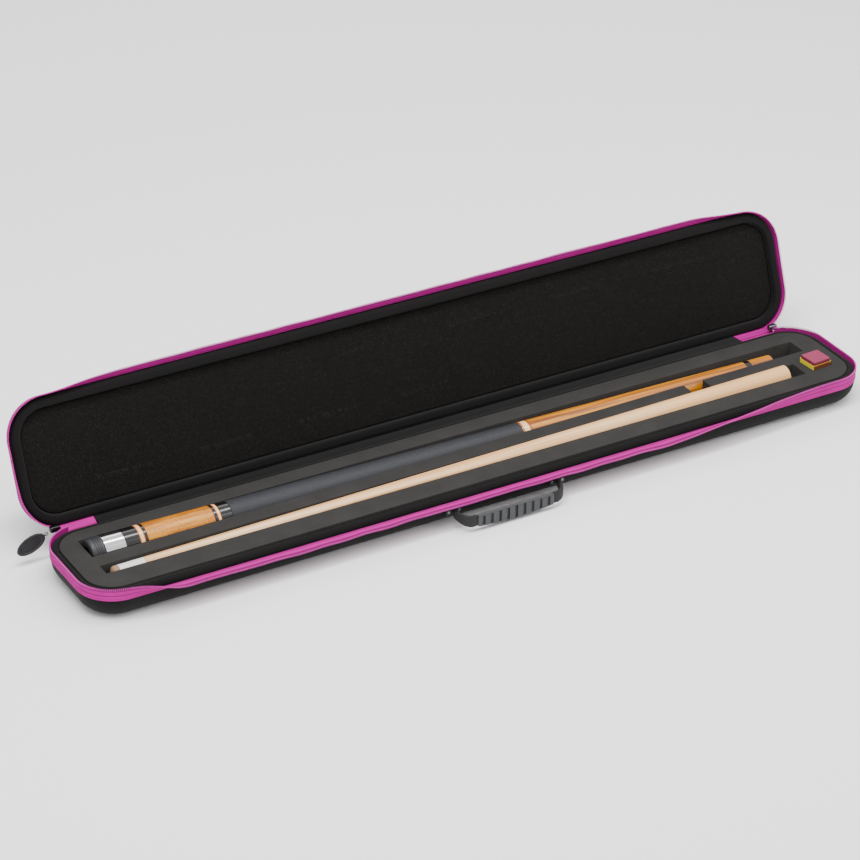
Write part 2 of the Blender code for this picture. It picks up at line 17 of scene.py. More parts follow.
import bmesh
import bpy
import numpy as np
from mathutils import Matrix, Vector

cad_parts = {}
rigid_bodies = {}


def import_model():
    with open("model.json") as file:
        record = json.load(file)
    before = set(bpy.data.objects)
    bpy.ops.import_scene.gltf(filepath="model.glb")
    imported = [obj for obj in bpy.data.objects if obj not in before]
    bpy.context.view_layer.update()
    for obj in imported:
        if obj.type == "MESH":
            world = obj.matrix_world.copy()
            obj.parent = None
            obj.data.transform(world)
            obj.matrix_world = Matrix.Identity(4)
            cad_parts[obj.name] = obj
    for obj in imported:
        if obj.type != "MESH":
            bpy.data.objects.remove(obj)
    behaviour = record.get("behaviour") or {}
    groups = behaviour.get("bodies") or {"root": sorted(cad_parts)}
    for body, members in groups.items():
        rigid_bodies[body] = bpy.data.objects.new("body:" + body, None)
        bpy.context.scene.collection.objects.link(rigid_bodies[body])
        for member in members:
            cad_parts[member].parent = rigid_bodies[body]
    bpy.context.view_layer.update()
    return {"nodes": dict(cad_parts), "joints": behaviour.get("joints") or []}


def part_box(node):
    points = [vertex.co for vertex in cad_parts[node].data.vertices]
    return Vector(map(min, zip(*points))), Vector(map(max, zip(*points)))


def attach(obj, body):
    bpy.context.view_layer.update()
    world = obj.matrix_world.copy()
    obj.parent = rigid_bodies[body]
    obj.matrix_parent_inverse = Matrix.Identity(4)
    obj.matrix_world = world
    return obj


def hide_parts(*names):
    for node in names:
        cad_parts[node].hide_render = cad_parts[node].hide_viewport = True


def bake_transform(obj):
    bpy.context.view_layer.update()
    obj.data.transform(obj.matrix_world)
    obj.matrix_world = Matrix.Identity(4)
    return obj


LOG = logging.getLogger("cue_case")

CORNER_RADIUS = 0.0365
CLOSING_Z = 0.034
RIM_Z = 0.0245
SEW_Z = 0.0228
WALL = 0.004
ROUND_STEPS = 96
MERGE = 1e-7
TRAY_COLLAR = (0.0079, 0.0306)
LID_COLLAR = (0.0102, 0.0300)


class Half(Enum):
    """The two halves of the case."""

    TRAY = "tray"
    LID = "lid"


class Side(Enum):
    """The two back corners, each with its sign along X."""

    LEFT = -1
    RIGHT = 1

    @property
    def word(self) -> str:
        """Lower-case name of the side."""
        return self.name.lower()


# ---------------------------------------------------------------- numpy helpers


def smooth(value: np.ndarray, low: float, high: float) -> np.ndarray:
    """Ease from 0 at low to 1 at high: 3t^2 - 2t^3 of the clipped share t.

    Args:
        value: The numbers to ease.
        low: Where the result is 0.
        high: Where the result is 1.

    Returns:
        The eased shares.
    """
    share = np.clip((np.asarray(value, float) - low) / (high - low), 0.0, 1.0)
    return share * share * (3 - 2 * share)


def closed_spline(points: Sequence[tuple[float, float]], per_span: int) -> np.ndarray:
    """Closed Catmull-Rom curve through control points.

    Each span is the cubic whose end slopes are half the chord between the neighbours.

    Args:
        points: Control points in order.
        per_span: Samples on each span.

    Returns:
        An (n, 2) array that starts at the first control point.
    """
    knots = np.asarray(points, float)
    t = np.linspace(0, 1, per_span, endpoint=False)[None, :, None]
    before, start = np.roll(knots, 1, 0)[:, None], knots[:, None]
    end, after = np.roll(knots, -1, 0)[:, None], np.roll(knots, -2, 0)[:, None]
    curve = 0.5 * (
        2 * start
        + (end - before) * t
        + (2 * before - 5 * start + 4 * end - after) * t**2
        + (3 * start - before - 3 * end + after) * t**3
    )
    return curve.reshape(-1, 2)


def open_spline(points: Sequence[Sequence[float]], per_span: int) -> np.ndarray:
    """Open Catmull-Rom curve through points of any dimension, ends included.

    Args:
        points: Control points in order.
        per_span: Samples on each span.

    Returns:
        An (n, d) array from the first point to the last.
    """
    knots = np.asarray(points, float)
    padded = np.vstack([2 * knots[0] - knots[1], knots, 2 * knots[-1] - knots[-2]])
    t = np.linspace(0, 1, per_span, endpoint=False)[None, :, None]
    a, b, c, d = (padded[i : len(padded) - 3 + i][:, None] for i in range(4))
    curve = 0.5 * (
        2 * b + (c - a) * t + (2 * a - 5 * b + 4 * c - d) * t**2 + (3 * b - a - 3 * c + d) * t**3
    )
    return np.vstack([curve.reshape(-1, knots.shape[1]), knots[-1:]])


def power(value: np.ndarray, exponent: float) -> np.ndarray:
    """Signed power, which keeps the sign of its base."""
    return np.sign(value) * np.abs(value) ** exponent


def box_section(turns: np.ndarray, exponent: float) -> tuple[np.ndarray, np.ndarray]:
    """Superellipse: signed powers of the cosine and the sine of each turn."""
    return power(np.cos(turns), exponent), power(np.sin(turns), exponent)


def ripple(x: np.ndarray, y: np.ndarray, seed: int, waves: int = 7) -> np.ndarray:
    """Low, seeded unevenness: a mean of sines whose wavelengths lie between 40 and 220 mm.

    Args:
        x: First coordinate.
        y: Second coordinate.
        seed: Seed of the draw.
        waves: Number of sines.

    Returns:
        Values between about -1 and 1.
    """
    rng = np.random.default_rng(seed)
    total = np.zeros(np.broadcast(x, y).shape)
    for _ in range(waves):
        turn, length = rng.uniform(0, math.tau), rng.uniform(0.04, 0.22)
        phase = rng.uniform(0, math.tau)
        along = x * math.cos(turn) + y * math.sin(turn)
        total += np.sin(along * math.tau / length + phase)
    return total / waves


# ---------------------------------------------------------------- meshes


@dataclass
class Surface:
    """A grid of points, (rows, columns, 3), that becomes one mesh.

    Rows run along the piece and columns round its section. Loop flags join the last row or
    column to the first, and caps close the two ends of the rows with a fan.
    """

    points: np.ndarray
    loop_rows: bool = False
    loop_columns: bool = True
    caps: bool = False
    values: dict[str, np.ndarray] | None = None

    def faces(self) -> np.ndarray:
        """Quads of the grid as an (n, 4) array of point numbers."""
        rows, columns = self.points.shape[:2]
        number = np.arange(rows * columns).reshape(rows, columns)
        if self.loop_rows:
            number = np.vstack([number, number[:1]])
        if self.loop_columns:
            number = np.hstack([number, number[:, :1]])
        quads = (number[:-1, :-1], number[:-1, 1:], number[1:, 1:], number[1:, :-1])
        return np.stack(quads, -1).reshape(-1, 4)

    def build(self, name: str, uv: bool = True) -> bpy.types.Object:
        """Make the object, smooth, with a UV map in metres along and across the grid.

        Args:
            name: Name of the piece.
            uv: Whether the UV map is made.

        Returns:
            The linked object.
        """
        rows, columns = self.points.shape[:2]
        flat = self.points.reshape(-1, 3)
        quads = self.faces()
        loops = [quads.ravel()]
        sizes = [np.full(len(quads), 4)]
        if self.caps:
            centres = np.stack([self.points[0].mean(0), self.points[-1].mean(0)])
            first = np.arange(columns)
            last = first + (rows - 1) * columns
            near = np.stack([np.full(columns, len(flat)), np.roll(first, -1), first], 1)
            far = np.stack([np.full(columns, len(flat) + 1), last, np.roll(last, -1)], 1)
            flat = np.vstack([flat, centres])
            loops += [near.ravel(), far.ravel()]
            sizes.append(np.full(2 * columns, 3))
        mesh = mesh_from(name, flat, np.concatenate(loops), np.concatenate(sizes))
        if uv:
            self.lay_uv(mesh, len(quads))
        for title, value in (self.values or {}).items():
            spare = len(flat) - rows * columns
            full = np.concatenate([value.ravel(), np.zeros(spare)])
            layer = mesh.attributes.new(title, "FLOAT", "POINT")
            layer.data.foreach_set("value", full.astype(np.float32))
        return link(name, mesh)

    def lay_uv(self, mesh: bpy.types.Mesh, quads: int) -> None:
        """Write lengths along rows and columns into the UV map, quad by quad.

        Args:
            mesh: The mesh to write to.
            quads: Number of quads, which come first in it.
        """
        grid = self.points
        if self.loop_rows:
            grid = np.concatenate([grid, grid[:1]], 0)
        if self.loop_columns:
            grid = np.concatenate([grid, grid[:, :1]], 1)
        middle = grid[:, grid.shape[1] // 2]
        along = np.concatenate([[0], np.cumsum(np.linalg.norm(np.diff(middle, axis=0), axis=1))])
        row = grid[grid.shape[0] // 2]
        across = np.concatenate([[0], np.cumsum(np.linalg.norm(np.diff(row, axis=0), axis=1))])
        u, v = np.meshgrid(along, across, indexing="ij")
        at = np.stack([u, v], -1)
        corners = (at[:-1, :-1], at[:-1, 1:], at[1:, 1:], at[1:, :-1])
        laid = np.stack(corners, 2).reshape(-1, 2)
        full = np.zeros((len(mesh.loops), 2))
        full[: quads * 4] = laid
        layer = mesh.uv_layers.new(name="UVMap")
        layer.data.foreach_set("uv", full.ravel().astype(np.float32))


def mesh_from(
    name: str, flat: np.ndarray, loops: np.ndarray, sizes: np.ndarray
) -> bpy.types.Mesh:
    """Fill a mesh from whole arrays.

    Args:
        name: Name of the mesh.
        flat: Points, (n, 3).
        loops: Point numbers of all faces in one row.
        sizes: Number of corners of each face.

    Returns:
        The mesh, smooth, with its normals turned outwards.
    """
    mesh = bpy.data.meshes.new(name)
    mesh.vertices.add(len(flat))
    mesh.vertices.foreach_set("co", flat.astype(np.float32).ravel())
    mesh.loops.add(len(loops))
    mesh.loops.foreach_set("vertex_index", loops.astype(np.int32))
    mesh.polygons.add(len(sizes))
    starts = np.concatenate([[0], np.cumsum(sizes)[:-1]]).astype(np.int32)
    mesh.polygons.foreach_set("loop_start", starts)
    mesh.update(calc_edges=True)
    mesh.validate()
    mesh.shade_smooth()
    return mesh


def link(name: str, mesh: bpy.types.Mesh) -> bpy.types.Object:
    """Link a new object that holds the mesh at the origin."""
    obj = bpy.data.objects.new(name, mesh)
    bpy.context.scene.collection.objects.link(obj)
    return obj


def turn_out(obj: bpy.types.Object, sharp: float | None = None) -> bpy.types.Object:
    """Merge doubled points, face every closed body outwards and mark sharp edges.

    Args:
        obj: The piece.
        sharp: Angle in degrees past which an edge is sharp, or None for none.

    Returns:
        The same piece.
    """
    bm = bmesh.new()
    bm.from_mesh(obj.data)
    bmesh.ops.remove_doubles(bm, verts=bm.verts, dist=MERGE)
    bmesh.ops.recalc_face_normals(bm, faces=bm.faces)
    bm.to_mesh(obj.data)
    bm.free()
    obj.data.shade_smooth()
    if sharp is not None:
        obj.data.set_sharp_from_angle(angle=math.radians(sharp))
    return obj


def scatter(
    name: str, shape: np.ndarray, faces: np.ndarray, frames: np.ndarray
) -> bpy.types.Object:
    """Repeat a small shape at many frames as one mesh.

    Args:
        name: Name of the piece.
        shape: Points of the shape, (p, 3).
        faces: Quads of the shape, (q, 4).
        frames: (n, 4, 3) arrays of three axes and an origin.

    Returns:
        The linked object. A point is origin + x*axis1 + y*axis2 + z*axis3.
    """
    placed = np.einsum("pk,nkc->npc", shape, frames[:, :3]) + frames[:, 3][:, None]
    offset = np.arange(len(frames))[:, None, None] * len(shape)
    quads = (faces[None] + offset).reshape(-1, 4)
    sizes = np.full(len(quads), 4)
    return link(name, mesh_from(name, placed.reshape(-1, 3), quads.ravel(), sizes))


def bar_shape(length: float, width: float, height: float) -> tuple[np.ndarray, np.ndarray]:
    """Six-sided bar along the first axis with pinched ends, for a stitch or a zip tooth.

    Args:
        length: Size along the first axis.
        width: Size along the second axis.
        height: Size along the third axis.

    Returns:
        Its points and quads.
    """
    turns = np.arange(6) * math.tau / 6
    ring = np.stack([np.cos(turns) * width / 2, np.sin(turns) * height / 2], 1)
    spots = ((-0.5, 0.35), (-0.36, 1.0), (0.36, 1.0), (0.5, 0.35))
    rows = [np.column_stack([np.full(6, at * length), ring * scale]) for at, scale in spots]
    number = np.arange(24).reshape(4, 6)
    around = np.roll(number, -1, 1)
    quads = np.stack([number[:-1], around[:-1], around[1:], number[1:]], -1).reshape(-1, 4)
    ends = [[0, 1, 2, 3], [0, 3, 4, 5], [21, 20, 19, 18], [18, 23, 22, 21]]
    return np.vstack(rows), np.vstack([quads, ends])


# ---------------------------------------------------------------- materials


class Weaver:
    """Short-hand for one material's node tree."""

    def __init__(self, name: str) -> None:
        """Start a material with an empty Principled shader."""
        self.material = bpy.data.materials.new(name)
        self.material.use_nodes = True
        self.tree = self.material.node_tree
        self.shader = self.tree.nodes["Principled BSDF"]

    def node(self, kind: str, settings: dict | None = None, **inputs) -> bpy.types.Node:
        """Add a node, set its options and feed its sockets.

        Args:
            kind: Node type without the ShaderNode prefix.
            settings: Options of the node itself.
            inputs: Values or output sockets by socket name, spaces as underscores.

        Returns:
            The node.
        """
        made = self.tree.nodes.new("ShaderNode" + kind)
        for key, value in (settings or {}).items():
            setattr(made, key, value)
        for key, value in inputs.items():
            self.feed(made.inputs[key.replace("_", " ")], value)
        return made

    def feed(self, socket: bpy.types.NodeSocket, value: object) -> None:
        """Link an output socket to a socket, or set its value."""
        if isinstance(value, bpy.types.NodeSocket):
            self.tree.links.new(value, socket)
        else:
            socket.default_value = value

    def math(self, operation: str, first: object, second: object = 0.0) -> bpy.types.NodeSocket:
        """Math of two numbers or sockets."""
        made = self.node("Math", {"operation": operation})
        self.feed(made.inputs[0], first)
        self.feed(made.inputs[1], second)
        return made.outputs[0]

    def scaled(self, value: object, factor: float, base: object) -> bpy.types.NodeSocket:
        """Value times a factor plus a base."""
        made = self.node("Math", {"operation": "MULTIPLY_ADD"})
        for socket, fed in zip(made.inputs, (value, factor, base)):
            self.feed(socket, fed)
        return made.outputs[0]

    def height(self, vector: object) -> bpy.types.NodeSocket:
        """Third part of a vector."""
        return self.node("SeparateXYZ", Vector=vector).outputs[2]

    def coat(self, weight: float, roughness: float) -> None:
        """Set the clear coat."""
        self.shader.inputs["Coat Weight"].default_value = weight
        self.shader.inputs["Coat Roughness"].default_value = roughness

    def mix(self, share: object, first: object, second: object) -> bpy.types.NodeSocket:
        """Blend of two colours by a share."""
        made = self.node("Mix", {"data_type": "RGBA"})
        self.feed(made.inputs[0], share)
        self.feed(made.inputs[6], first)
        self.feed(made.inputs[7], second)
        return made.outputs[2]

    def ramp(self, share: object, stops: Sequence[tuple[float, tuple]]) -> bpy.types.NodeSocket:
        """Colour ramp over a share with the given (place, colour) stops."""
        made = self.node("ValToRGB")
        self.feed(made.inputs[0], share)
        elements = made.color_ramp.elements
        while len(elements) < len(stops):
            elements.new(0.5)
        for element, (place, colour) in zip(elements, stops):
            element.position = place
            element.color = colour
        return made.outputs[0]

    def place(self, scale: tuple = (1, 1, 1), uv: bool = False) -> bpy.types.NodeSocket:
        """Object or UV coordinates, scaled."""
        source = self.node("TexCoord").outputs["UV" if uv else "Object"]
        return self.node("Mapping", Vector=source, Scale=scale).outputs[0]

    def noise(self, vector: object, scale: float, detail: float = 3.0) -> bpy.types.NodeSocket:
        """Noise between 0 and 1 at a vector."""
        return self.node("TexNoise", Vector=vector, Scale=scale, Detail=detail).outputs[0]

    def bump(self, height: object, strength: float, depth: float) -> None:
        """Give the shader a bump of that depth in metres."""
        made = self.node("Bump", Strength=strength, Distance=depth, Height=height)
        self.feed(self.shader.inputs["Normal"], made.outputs[0])

    def finish(self, **inputs) -> bpy.types.Material:
        """Feed the shader's sockets and return the material."""
        for key, value in inputs.items():
            self.feed(self.shader.inputs[key.replace("_", " ")], value)
        return self.material


def grey(level: float, warmth: float = 0.0) -> tuple[float, float, float, float]:
    """Opaque grey with a little warmth, red up and blue down."""
    return (level * (1 + warmth), level, level * (1 - warmth), 1.0)


@dataclass(frozen=True)
class ClothFinish:
    """Woven or brushed cloth: two crossing sets of threads, mottling and a soft sheen."""

    name: str
    dark: tuple
    light: tuple
    thread: float = 0.0009
    depth: float = 0.00012
    sheen: float = 0.05
    fleck: float = 0.0
    gloss: float = 0.12

    def make(self) -> bpy.types.Material:
        """Build the material: threads are sine waves across each other, flecks are fine noise."""
        w = Weaver(self.name)
        at = w.place()
        split = w.node("SeparateXYZ", Vector=at)
        turn = math.tau / self.thread
        one = w.math("SINE", w.math("MULTIPLY", split.outputs[0], turn))
        both = w.math("ADD", split.outputs[1], split.outputs[2])
        two = w.math("SINE", w.math("MULTIPLY", both, turn))
        weave = w.scaled(w.math("MULTIPLY", one, two), 0.5, 0.5)
        blotch = w.noise(at, 28.0, 4.0)
        fine = w.noise(at, 1500.0, 2.0)
        share = w.scaled(weave, 0.35, w.math("MULTIPLY", blotch, 0.55))
        colour = w.mix(share, self.dark, self.light)
        if self.fleck:
            spot = w.math("GREATER_THAN", fine, 0.60)
            colour = w.mix(w.math("MULTIPLY", spot, self.fleck), colour, grey(0.07, 0.12))
        w.bump(w.math("ADD", weave, w.math("MULTIPLY", fine, 0.8)), 0.7, self.depth)
        w.shader.inputs["Sheen Weight"].default_value = self.sheen
        w.shader.inputs["Sheen Roughness"].default_value = 0.5
        rough = w.scaled(blotch, 0.1, 0.82)
        return w.finish(Base_Color=colour, Roughness=rough, Specular_IOR_Level=self.gloss)


@dataclass(frozen=True)
class TapeFinish:
    """Dyed zip tape: painted shade under the teeth, ribbed below them, creased with painted shade,
    then a plain hem.
    """

    name: str
    # deep: colour of the painted shade under the teeth and in the crease
    deep: tuple
    base: tuple
    bright: tuple
    reach: float = 0.0105

    def make(self) -> bpy.types.Material:
        """Build the material from the UV map, whose v runs from the hem over the free edge.

        The distance from the free edge is the reach less v, without its sign, so both faces
        of the tape carry the same bands.
        """
        w = Weaver(self.name)
        at = w.place(uv=True)
        split = w.node("SeparateXYZ", Vector=at)
        off = w.math("ABSOLUTE", w.math("SUBTRACT", split.outputs[1], self.reach))
        rib = w.math("SINE", w.math("MULTIPLY", split.outputs[0], math.tau / 0.0008))
        body = w.mix(w.noise(at, 60.0, 4.0), self.base, self.bright)
        # painted shade: a dark band under the teeth and one in the crease, mixed towards the deep
        # colour
        under = self.band(w, off, 0.0004, 0.0017)
        crease = self.band(w, off, 0.0056, 0.0009)
        colour = w.mix(w.math("MULTIPLY", under, 0.75), body, self.deep)
        colour = w.mix(w.math("MULTIPLY", crease, 0.8), colour, self.deep)
        height = w.math("ADD", w.math("MULTIPLY", rib, 0.5), w.math("MULTIPLY", crease, -1.5))
        w.bump(height, 0.8, 0.00014)
        return w.finish(Base_Color=colour, Roughness=0.8, Specular_IOR_Level=0.15)

    @staticmethod
    def band(w: Weaver, off: object, middle: float, half: float) -> bpy.types.NodeSocket:
        """Share that is 1 at a distance and eases to 0 a half width from it."""
        away = w.math("ABSOLUTE", w.math("SUBTRACT", off, middle))
        made = w.node("MapRange", {"interpolation_type": "SMOOTHSTEP"}, Value=away,
                      From_Min=0.0, From_Max=half, To_Min=1.0, To_Max=0.0)
        return made.outputs[0]


@dataclass(frozen=True)
class FoamFinish:
    """Closed-cell foam: mottled dark grey with a bump of small cells."""

    name: str
    base: float = 0.027
    cell: float = 1500.0

    def make(self) -> bpy.types.Material:
        """Build the material from Voronoi cells and two noises."""
        w = Weaver(self.name)
        at = w.place()
        cells = w.node("TexVoronoi", Vector=at, Scale=self.cell).outputs["Distance"]
        cloud = w.noise(at, 40.0, 5.0)
        grain = w.noise(at, 900.0, 3.0)
        share = w.math("ADD", w.math("MULTIPLY", cloud, 0.5), w.math("MULTIPLY", grain, 0.5))
        stops = ((0.3, grey(self.base * 0.8, 0.05)), (0.7, grey(self.base * 1.2, 0.05)))
        colour = w.ramp(share, stops)
        w.bump(w.math("ADD", cells, grain), 0.5, 0.00016)
        return w.finish(Base_Color=colour, Roughness=0.95, Specular_IOR_Level=0.15)


@dataclass(frozen=True)
class RubberFinish:
    """Moulded rubber or soft plastic with a fine grain; recesses may carry painted shade."""

    name: str
    colour: tuple
    roughness: float = 0.6
    grain: float = 1800.0
    # recess: whether painted shade is laid into recesses from the recess attribute
    recess: bool = False

    def make(self) -> bpy.types.Material:
        """Build the material; the recess attribute, where there is one, paints shade into it."""
        w = Weaver(self.name)
        at = w.place()
        grain = w.noise(at, self.grain, 3.0)
        wear = w.noise(at, 60.0, 4.0)
        dark = tuple(c * 0.72 for c in self.colour[:3]) + (1.0,)
        colour = w.mix(wear, dark, self.colour)
        if self.recess:
            # painted shade: the recess mask mixes the rubber towards near black in the slots
            depth = w.node("Attribute", {"attribute_name": "recess"}).outputs["Fac"]
            colour = w.mix(depth, colour, grey(0.006))
        w.bump(grain, 0.5, 0.00008)
        rough = w.scaled(wear, 0.16, self.roughness - 0.08)
        return w.finish(Base_Color=colour, Roughness=rough)


@dataclass(frozen=True)
class GlossFinish:
    """Lacquer or polished plastic with faint hairlines."""

    name: str
    colour: tuple
    roughness: float = 0.12
    coat: float = 0.6

    def make(self) -> bpy.types.Material:
        """Build the material: hairlines are noise stretched round the piece."""
        w = Weaver(self.name)
        at = w.place((4.0, 1.0, 1.0))
        lines = w.noise(at, 420.0, 4.0)
        dark = tuple(c * 0.86 for c in self.colour[:3]) + (1.0,)
        colour = w.mix(lines, dark, self.colour)
        rough = w.scaled(lines, 0.10, self.roughness)
        w.coat(self.coat, 0.08)
        return w.finish(Base_Color=colour, Roughness=rough)


@dataclass(frozen=True)
class MetalFinish:
    """Metal with fine turned or cast marks."""

    name: str
    colour: tuple
    roughness: float = 0.2
    marks: float = 600.0

    def make(self) -> bpy.types.Material:
        """Build the material from noise stretched across the turning direction."""
        w = Weaver(self.name)
        marks = w.noise(w.place((6.0, 1.0, 1.0)), self.marks, 4.0)
        rough = w.scaled(marks, 0.18, self.roughness - 0.06)
        w.bump(marks, 0.15, 0.00003)
        return w.finish(Base_Color=self.colour, Roughness=rough, Metallic=1.0)


class Grain(Enum):
    """The figures of wood on the cue."""

    BURL = "burl"
    STRAIGHT = "straight"
    PALE = "pale"


@dataclass(frozen=True)
class WoodFinish:
    """Lacquered wood with streaks along X, pores and a slow change of tone."""

    name: str
    figure: Grain
    dark: tuple
    middle: tuple
    light: tuple
    roughness: float = 0.24
    coat: float = 0.5
    far: tuple | None = None

    def make(self) -> bpy.types.Material:
        """Build the material: streaks are noise squeezed along X, burl adds cross waves."""
        w = Weaver(self.name)
        long = {Grain.BURL: 30.0, Grain.STRAIGHT: 7.0, Grain.PALE: 3.0}[self.figure]
        streak = w.noise(w.place((long, 420.0, 420.0)), 1.0, 5.0)
        band = w.noise(w.place((long * 0.5, 110.0, 110.0)), 1.0, 3.0)
        share = w.math("ADD", w.math("MULTIPLY", streak, 0.6), w.math("MULTIPLY", band, 0.4))
        if self.figure is Grain.BURL:
            spots = w.noise(w.place((900.0, 1500.0, 1500.0)), 1.0, 3.0)
            share = w.math("ADD", w.math("MULTIPLY", share, 0.55), w.math("MULTIPLY", spots, 0.45))
        stops = ((0.41, self.dark), (0.5, self.middle), (0.59, self.light))
        colour = w.ramp(share, stops)
        if self.far:
            along = w.node("SeparateXYZ", Vector=w.place()).outputs[0]
            made = w.node("MapRange", Value=along, From_Min=-0.30, From_Max=0.35)
            colour = w.mix(w.math("MULTIPLY", made.outputs[0], 0.7), colour, self.far)
        pores = w.noise(w.place((60.0, 2400.0, 2400.0)), 1.0, 2.0)
        w.bump(pores, 0.12, 0.00004)
        w.coat(self.coat, 0.1)
        rough = w.scaled(pores, 0.12, self.roughness)
        return w.finish(Base_Color=colour, Roughness=rough)


@dataclass(frozen=True)
class ChalkFinish:
    """Pressed chalk: powdery, blotched and pitted."""

    name: str
    # top: colour of upward faces, paler with painted light; side: colour of the other faces
    top: tuple
    side: tuple

    def make(self) -> bpy.types.Material:
        """Build the material; upward faces take a paler colour than the sides, painted light on the
        top.
        """
        w = Weaver(self.name)
        at = w.place()
        # painted light: faces whose normal points up take the paler top colour, the rest the darker
        # side colour
        upward = w.height(w.node("NewGeometry").outputs["Normal"])
        lit_top_mask = w.math("GREATER_THAN", upward, 0.6)
        powder = w.noise(at, 300.0, 6.0)
        base = w.mix(lit_top_mask, self.side, self.top)
        pale = tuple(min(1.0, c * 1.5) for c in self.top[:3]) + (1.0,)
        colour = w.mix(w.math("MULTIPLY", powder, 0.5), base, pale)
        w.bump(w.noise(at, 1400.0, 5.0), 0.9, 0.0002)
        return w.finish(Base_Color=colour, Roughness=0.95, Specular_IOR_Level=0.1)


@dataclass(frozen=True)
class LabelFinish:
    """Printed paper: a colour with a plain band along its foot and worn edges."""

    name: str
    colour: tuple
    band: tuple
    band_z: float

    def make(self) -> bpy.types.Material:
        """Build the material from height and noise."""
        w = Weaver(self.name)
        at = w.place()
        low = w.math("LESS_THAN", w.height(at), self.band_z)
        wear = w.noise(at, 240.0, 5.0)
        printed = w.mix(low, self.colour, self.band)
        faded = tuple(min(1.0, c * 1.4 + 0.02) for c in self.colour[:3]) + (1.0,)
        colour = w.mix(w.math("MULTIPLY", wear, 0.3), printed, faded)
        w.bump(wear, 0.2, 0.00005)
        return w.finish(Base_Color=colour, Roughness=0.55)


@dataclass(frozen=True)
class WrapFinish:
    """Linen wound round a cue: threads side by side across X, flecked."""

    name: str
    dark: tuple
    light: tuple
    thread: float = 0.0007

    def make(self) -> bpy.types.Material:
        """Build the material: rounded threads every few tenths of a millimetre along X."""
        w = Weaver(self.name)
        at = w.place()
        split = w.node("SeparateXYZ", Vector=at)
        thread = w.math("SINE", w.math("MULTIPLY", split.outputs[0], math.tau / self.thread))
        fleck = w.noise(w.place((900.0, 500.0, 500.0)), 1.0, 3.0)
        share = w.scaled(thread, 0.18, fleck)
        colour = w.mix(share, self.dark, self.light)
        w.bump(w.math("ADD", thread, fleck), 0.6, 0.00009)
        return w.finish(Base_Color=colour, Roughness=0.6, Specular_IOR_Level=0.4)


def palette(label_foot: float) -> dict[str, bpy.types.Material]:
    """Make every finish once.

    Args:
        label_foot: Height of the label's plain band.

    Returns:
        Materials by plain names.
    """
    black = (0.0050, 0.0048, 0.0046, 1)
    finishes = (
        ClothFinish("shell_cloth", (0.004, 0.0038, 0.0038, 1), (0.010, 0.0096, 0.0094, 1), 0.0011),
        ClothFinish("lining_cloth", (0.003, 0.0028, 0.0027, 1), (0.0075, 0.007, 0.0068, 1),
                    0.0008),
        ClothFinish("pad_cloth", (0.0026, 0.0023, 0.0022, 1), (0.0056, 0.0050, 0.0047, 1),
                    0.0007, fleck=0.22, gloss=0.06),
        # zip tape: the first colour is the painted shade under the teeth and in the crease
        TapeFinish("zip_tape", (0.13, 0.002, 0.065, 1), (0.34, 0.004, 0.175, 1),
                   (0.47, 0.008, 0.26, 1)),
        RubberFinish("zip_teeth", (0.56, 0.02, 0.34, 1), 0.5),
        RubberFinish("stitch", (0.25, 0.008, 0.13, 1), 0.7),
        FoamFinish("foam"),
        # grip rubber: painted shade in its slots
        RubberFinish("grip_rubber", (0.034, 0.0355, 0.038, 1), 0.55, recess=True),
        RubberFinish("strap_rubber", (0.0035, 0.0035, 0.0038, 1), 0.75),
        RubberFinish("pull_rubber", (0.008, 0.008, 0.010, 1), 0.6),
        RubberFinish("bumper_rubber", (0.018, 0.0185, 0.022, 1), 0.5),
        MetalFinish("chrome", (0.86, 0.86, 0.86, 1), 0.10),
        MetalFinish("gunmetal", (0.17, 0.17, 0.18, 1), 0.34),
        MetalFinish("dark_metal", (0.045, 0.045, 0.048, 1), 0.3),
        MetalFinish("brass", (0.72, 0.50, 0.20, 1), 0.25),
        GlossFinish("gloss_black", black, 0.14),
        GlossFinish("cream", (0.86, 0.56, 0.30, 1), 0.2),
        GlossFinish("ring_orange", (0.42, 0.10, 0.006, 1), 0.2),
        GlossFinish("ferrule_white", (0.74, 0.73, 0.71, 1), 0.25, 0.3),
        RubberFinish("leather_tip", (0.33, 0.19, 0.10, 1), 0.8, 900.0),
        WrapFinish("wrap_linen", (0.007, 0.0077, 0.0095, 1), (0.032, 0.034, 0.041, 1)),
        WoodFinish("sleeve_wood", Grain.BURL, (0.24, 0.062, 0.0, 1), (0.46, 0.150, 0.0, 1),
                   (0.62, 0.26, 0.008, 1), 0.34, 0.12),
        WoodFinish("forearm_wood", Grain.STRAIGHT, (0.17, 0.042, 0.0, 1),
                   (0.42, 0.135, 0.0, 1), (0.60, 0.25, 0.008, 1), 0.34, 0.12),
        WoodFinish("shaft_wood", Grain.PALE, (0.60, 0.31, 0.115, 1), (0.76, 0.46, 0.22, 1),
                   (0.86, 0.60, 0.35, 1), 0.45, 0.05, (0.70, 0.36, 0.12, 1)),
        # chalk: the first colour is the top's, paler with painted light, the second the sides'
        ChalkFinish("chalk", (0.22, 0.038, 0.08, 1), (0.10, 0.012, 0.016, 1)),
        LabelFinish("label_yellow", (0.60, 0.50, 0.004, 1), (0.60, 0.50, 0.004, 1), label_foot),
        LabelFinish("label_brown", (0.14, 0.028, 0.006, 1), (0.62, 0.52, 0.34, 1), label_foot),
    )
    return {finish.name: finish.make() for finish in finishes}


def dress(
    obj: bpy.types.Object,
    material: bpy.types.Material,
    body: str,
    slot: str,
    *nodes: str,
) -> bpy.types.Object:
    """Give a piece its finish and its body, and hide the nodes it stands for.

    Args:
        obj: The piece.
        material: Its finish.
        body: The body it moves with.
        slot: The record's material slot; not used.
        nodes: CAD nodes it replaces.

    Returns:
        The same piece.
    """
    if not obj.data.materials:
        obj.data.materials.append(material)
    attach(obj, body)
    if nodes:
        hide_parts(*nodes)
    LOG.info("%s: %d faces, on %s", obj.name, len(obj.data.polygons), body)
    return obj


# ---------------------------------------------------------------- the case


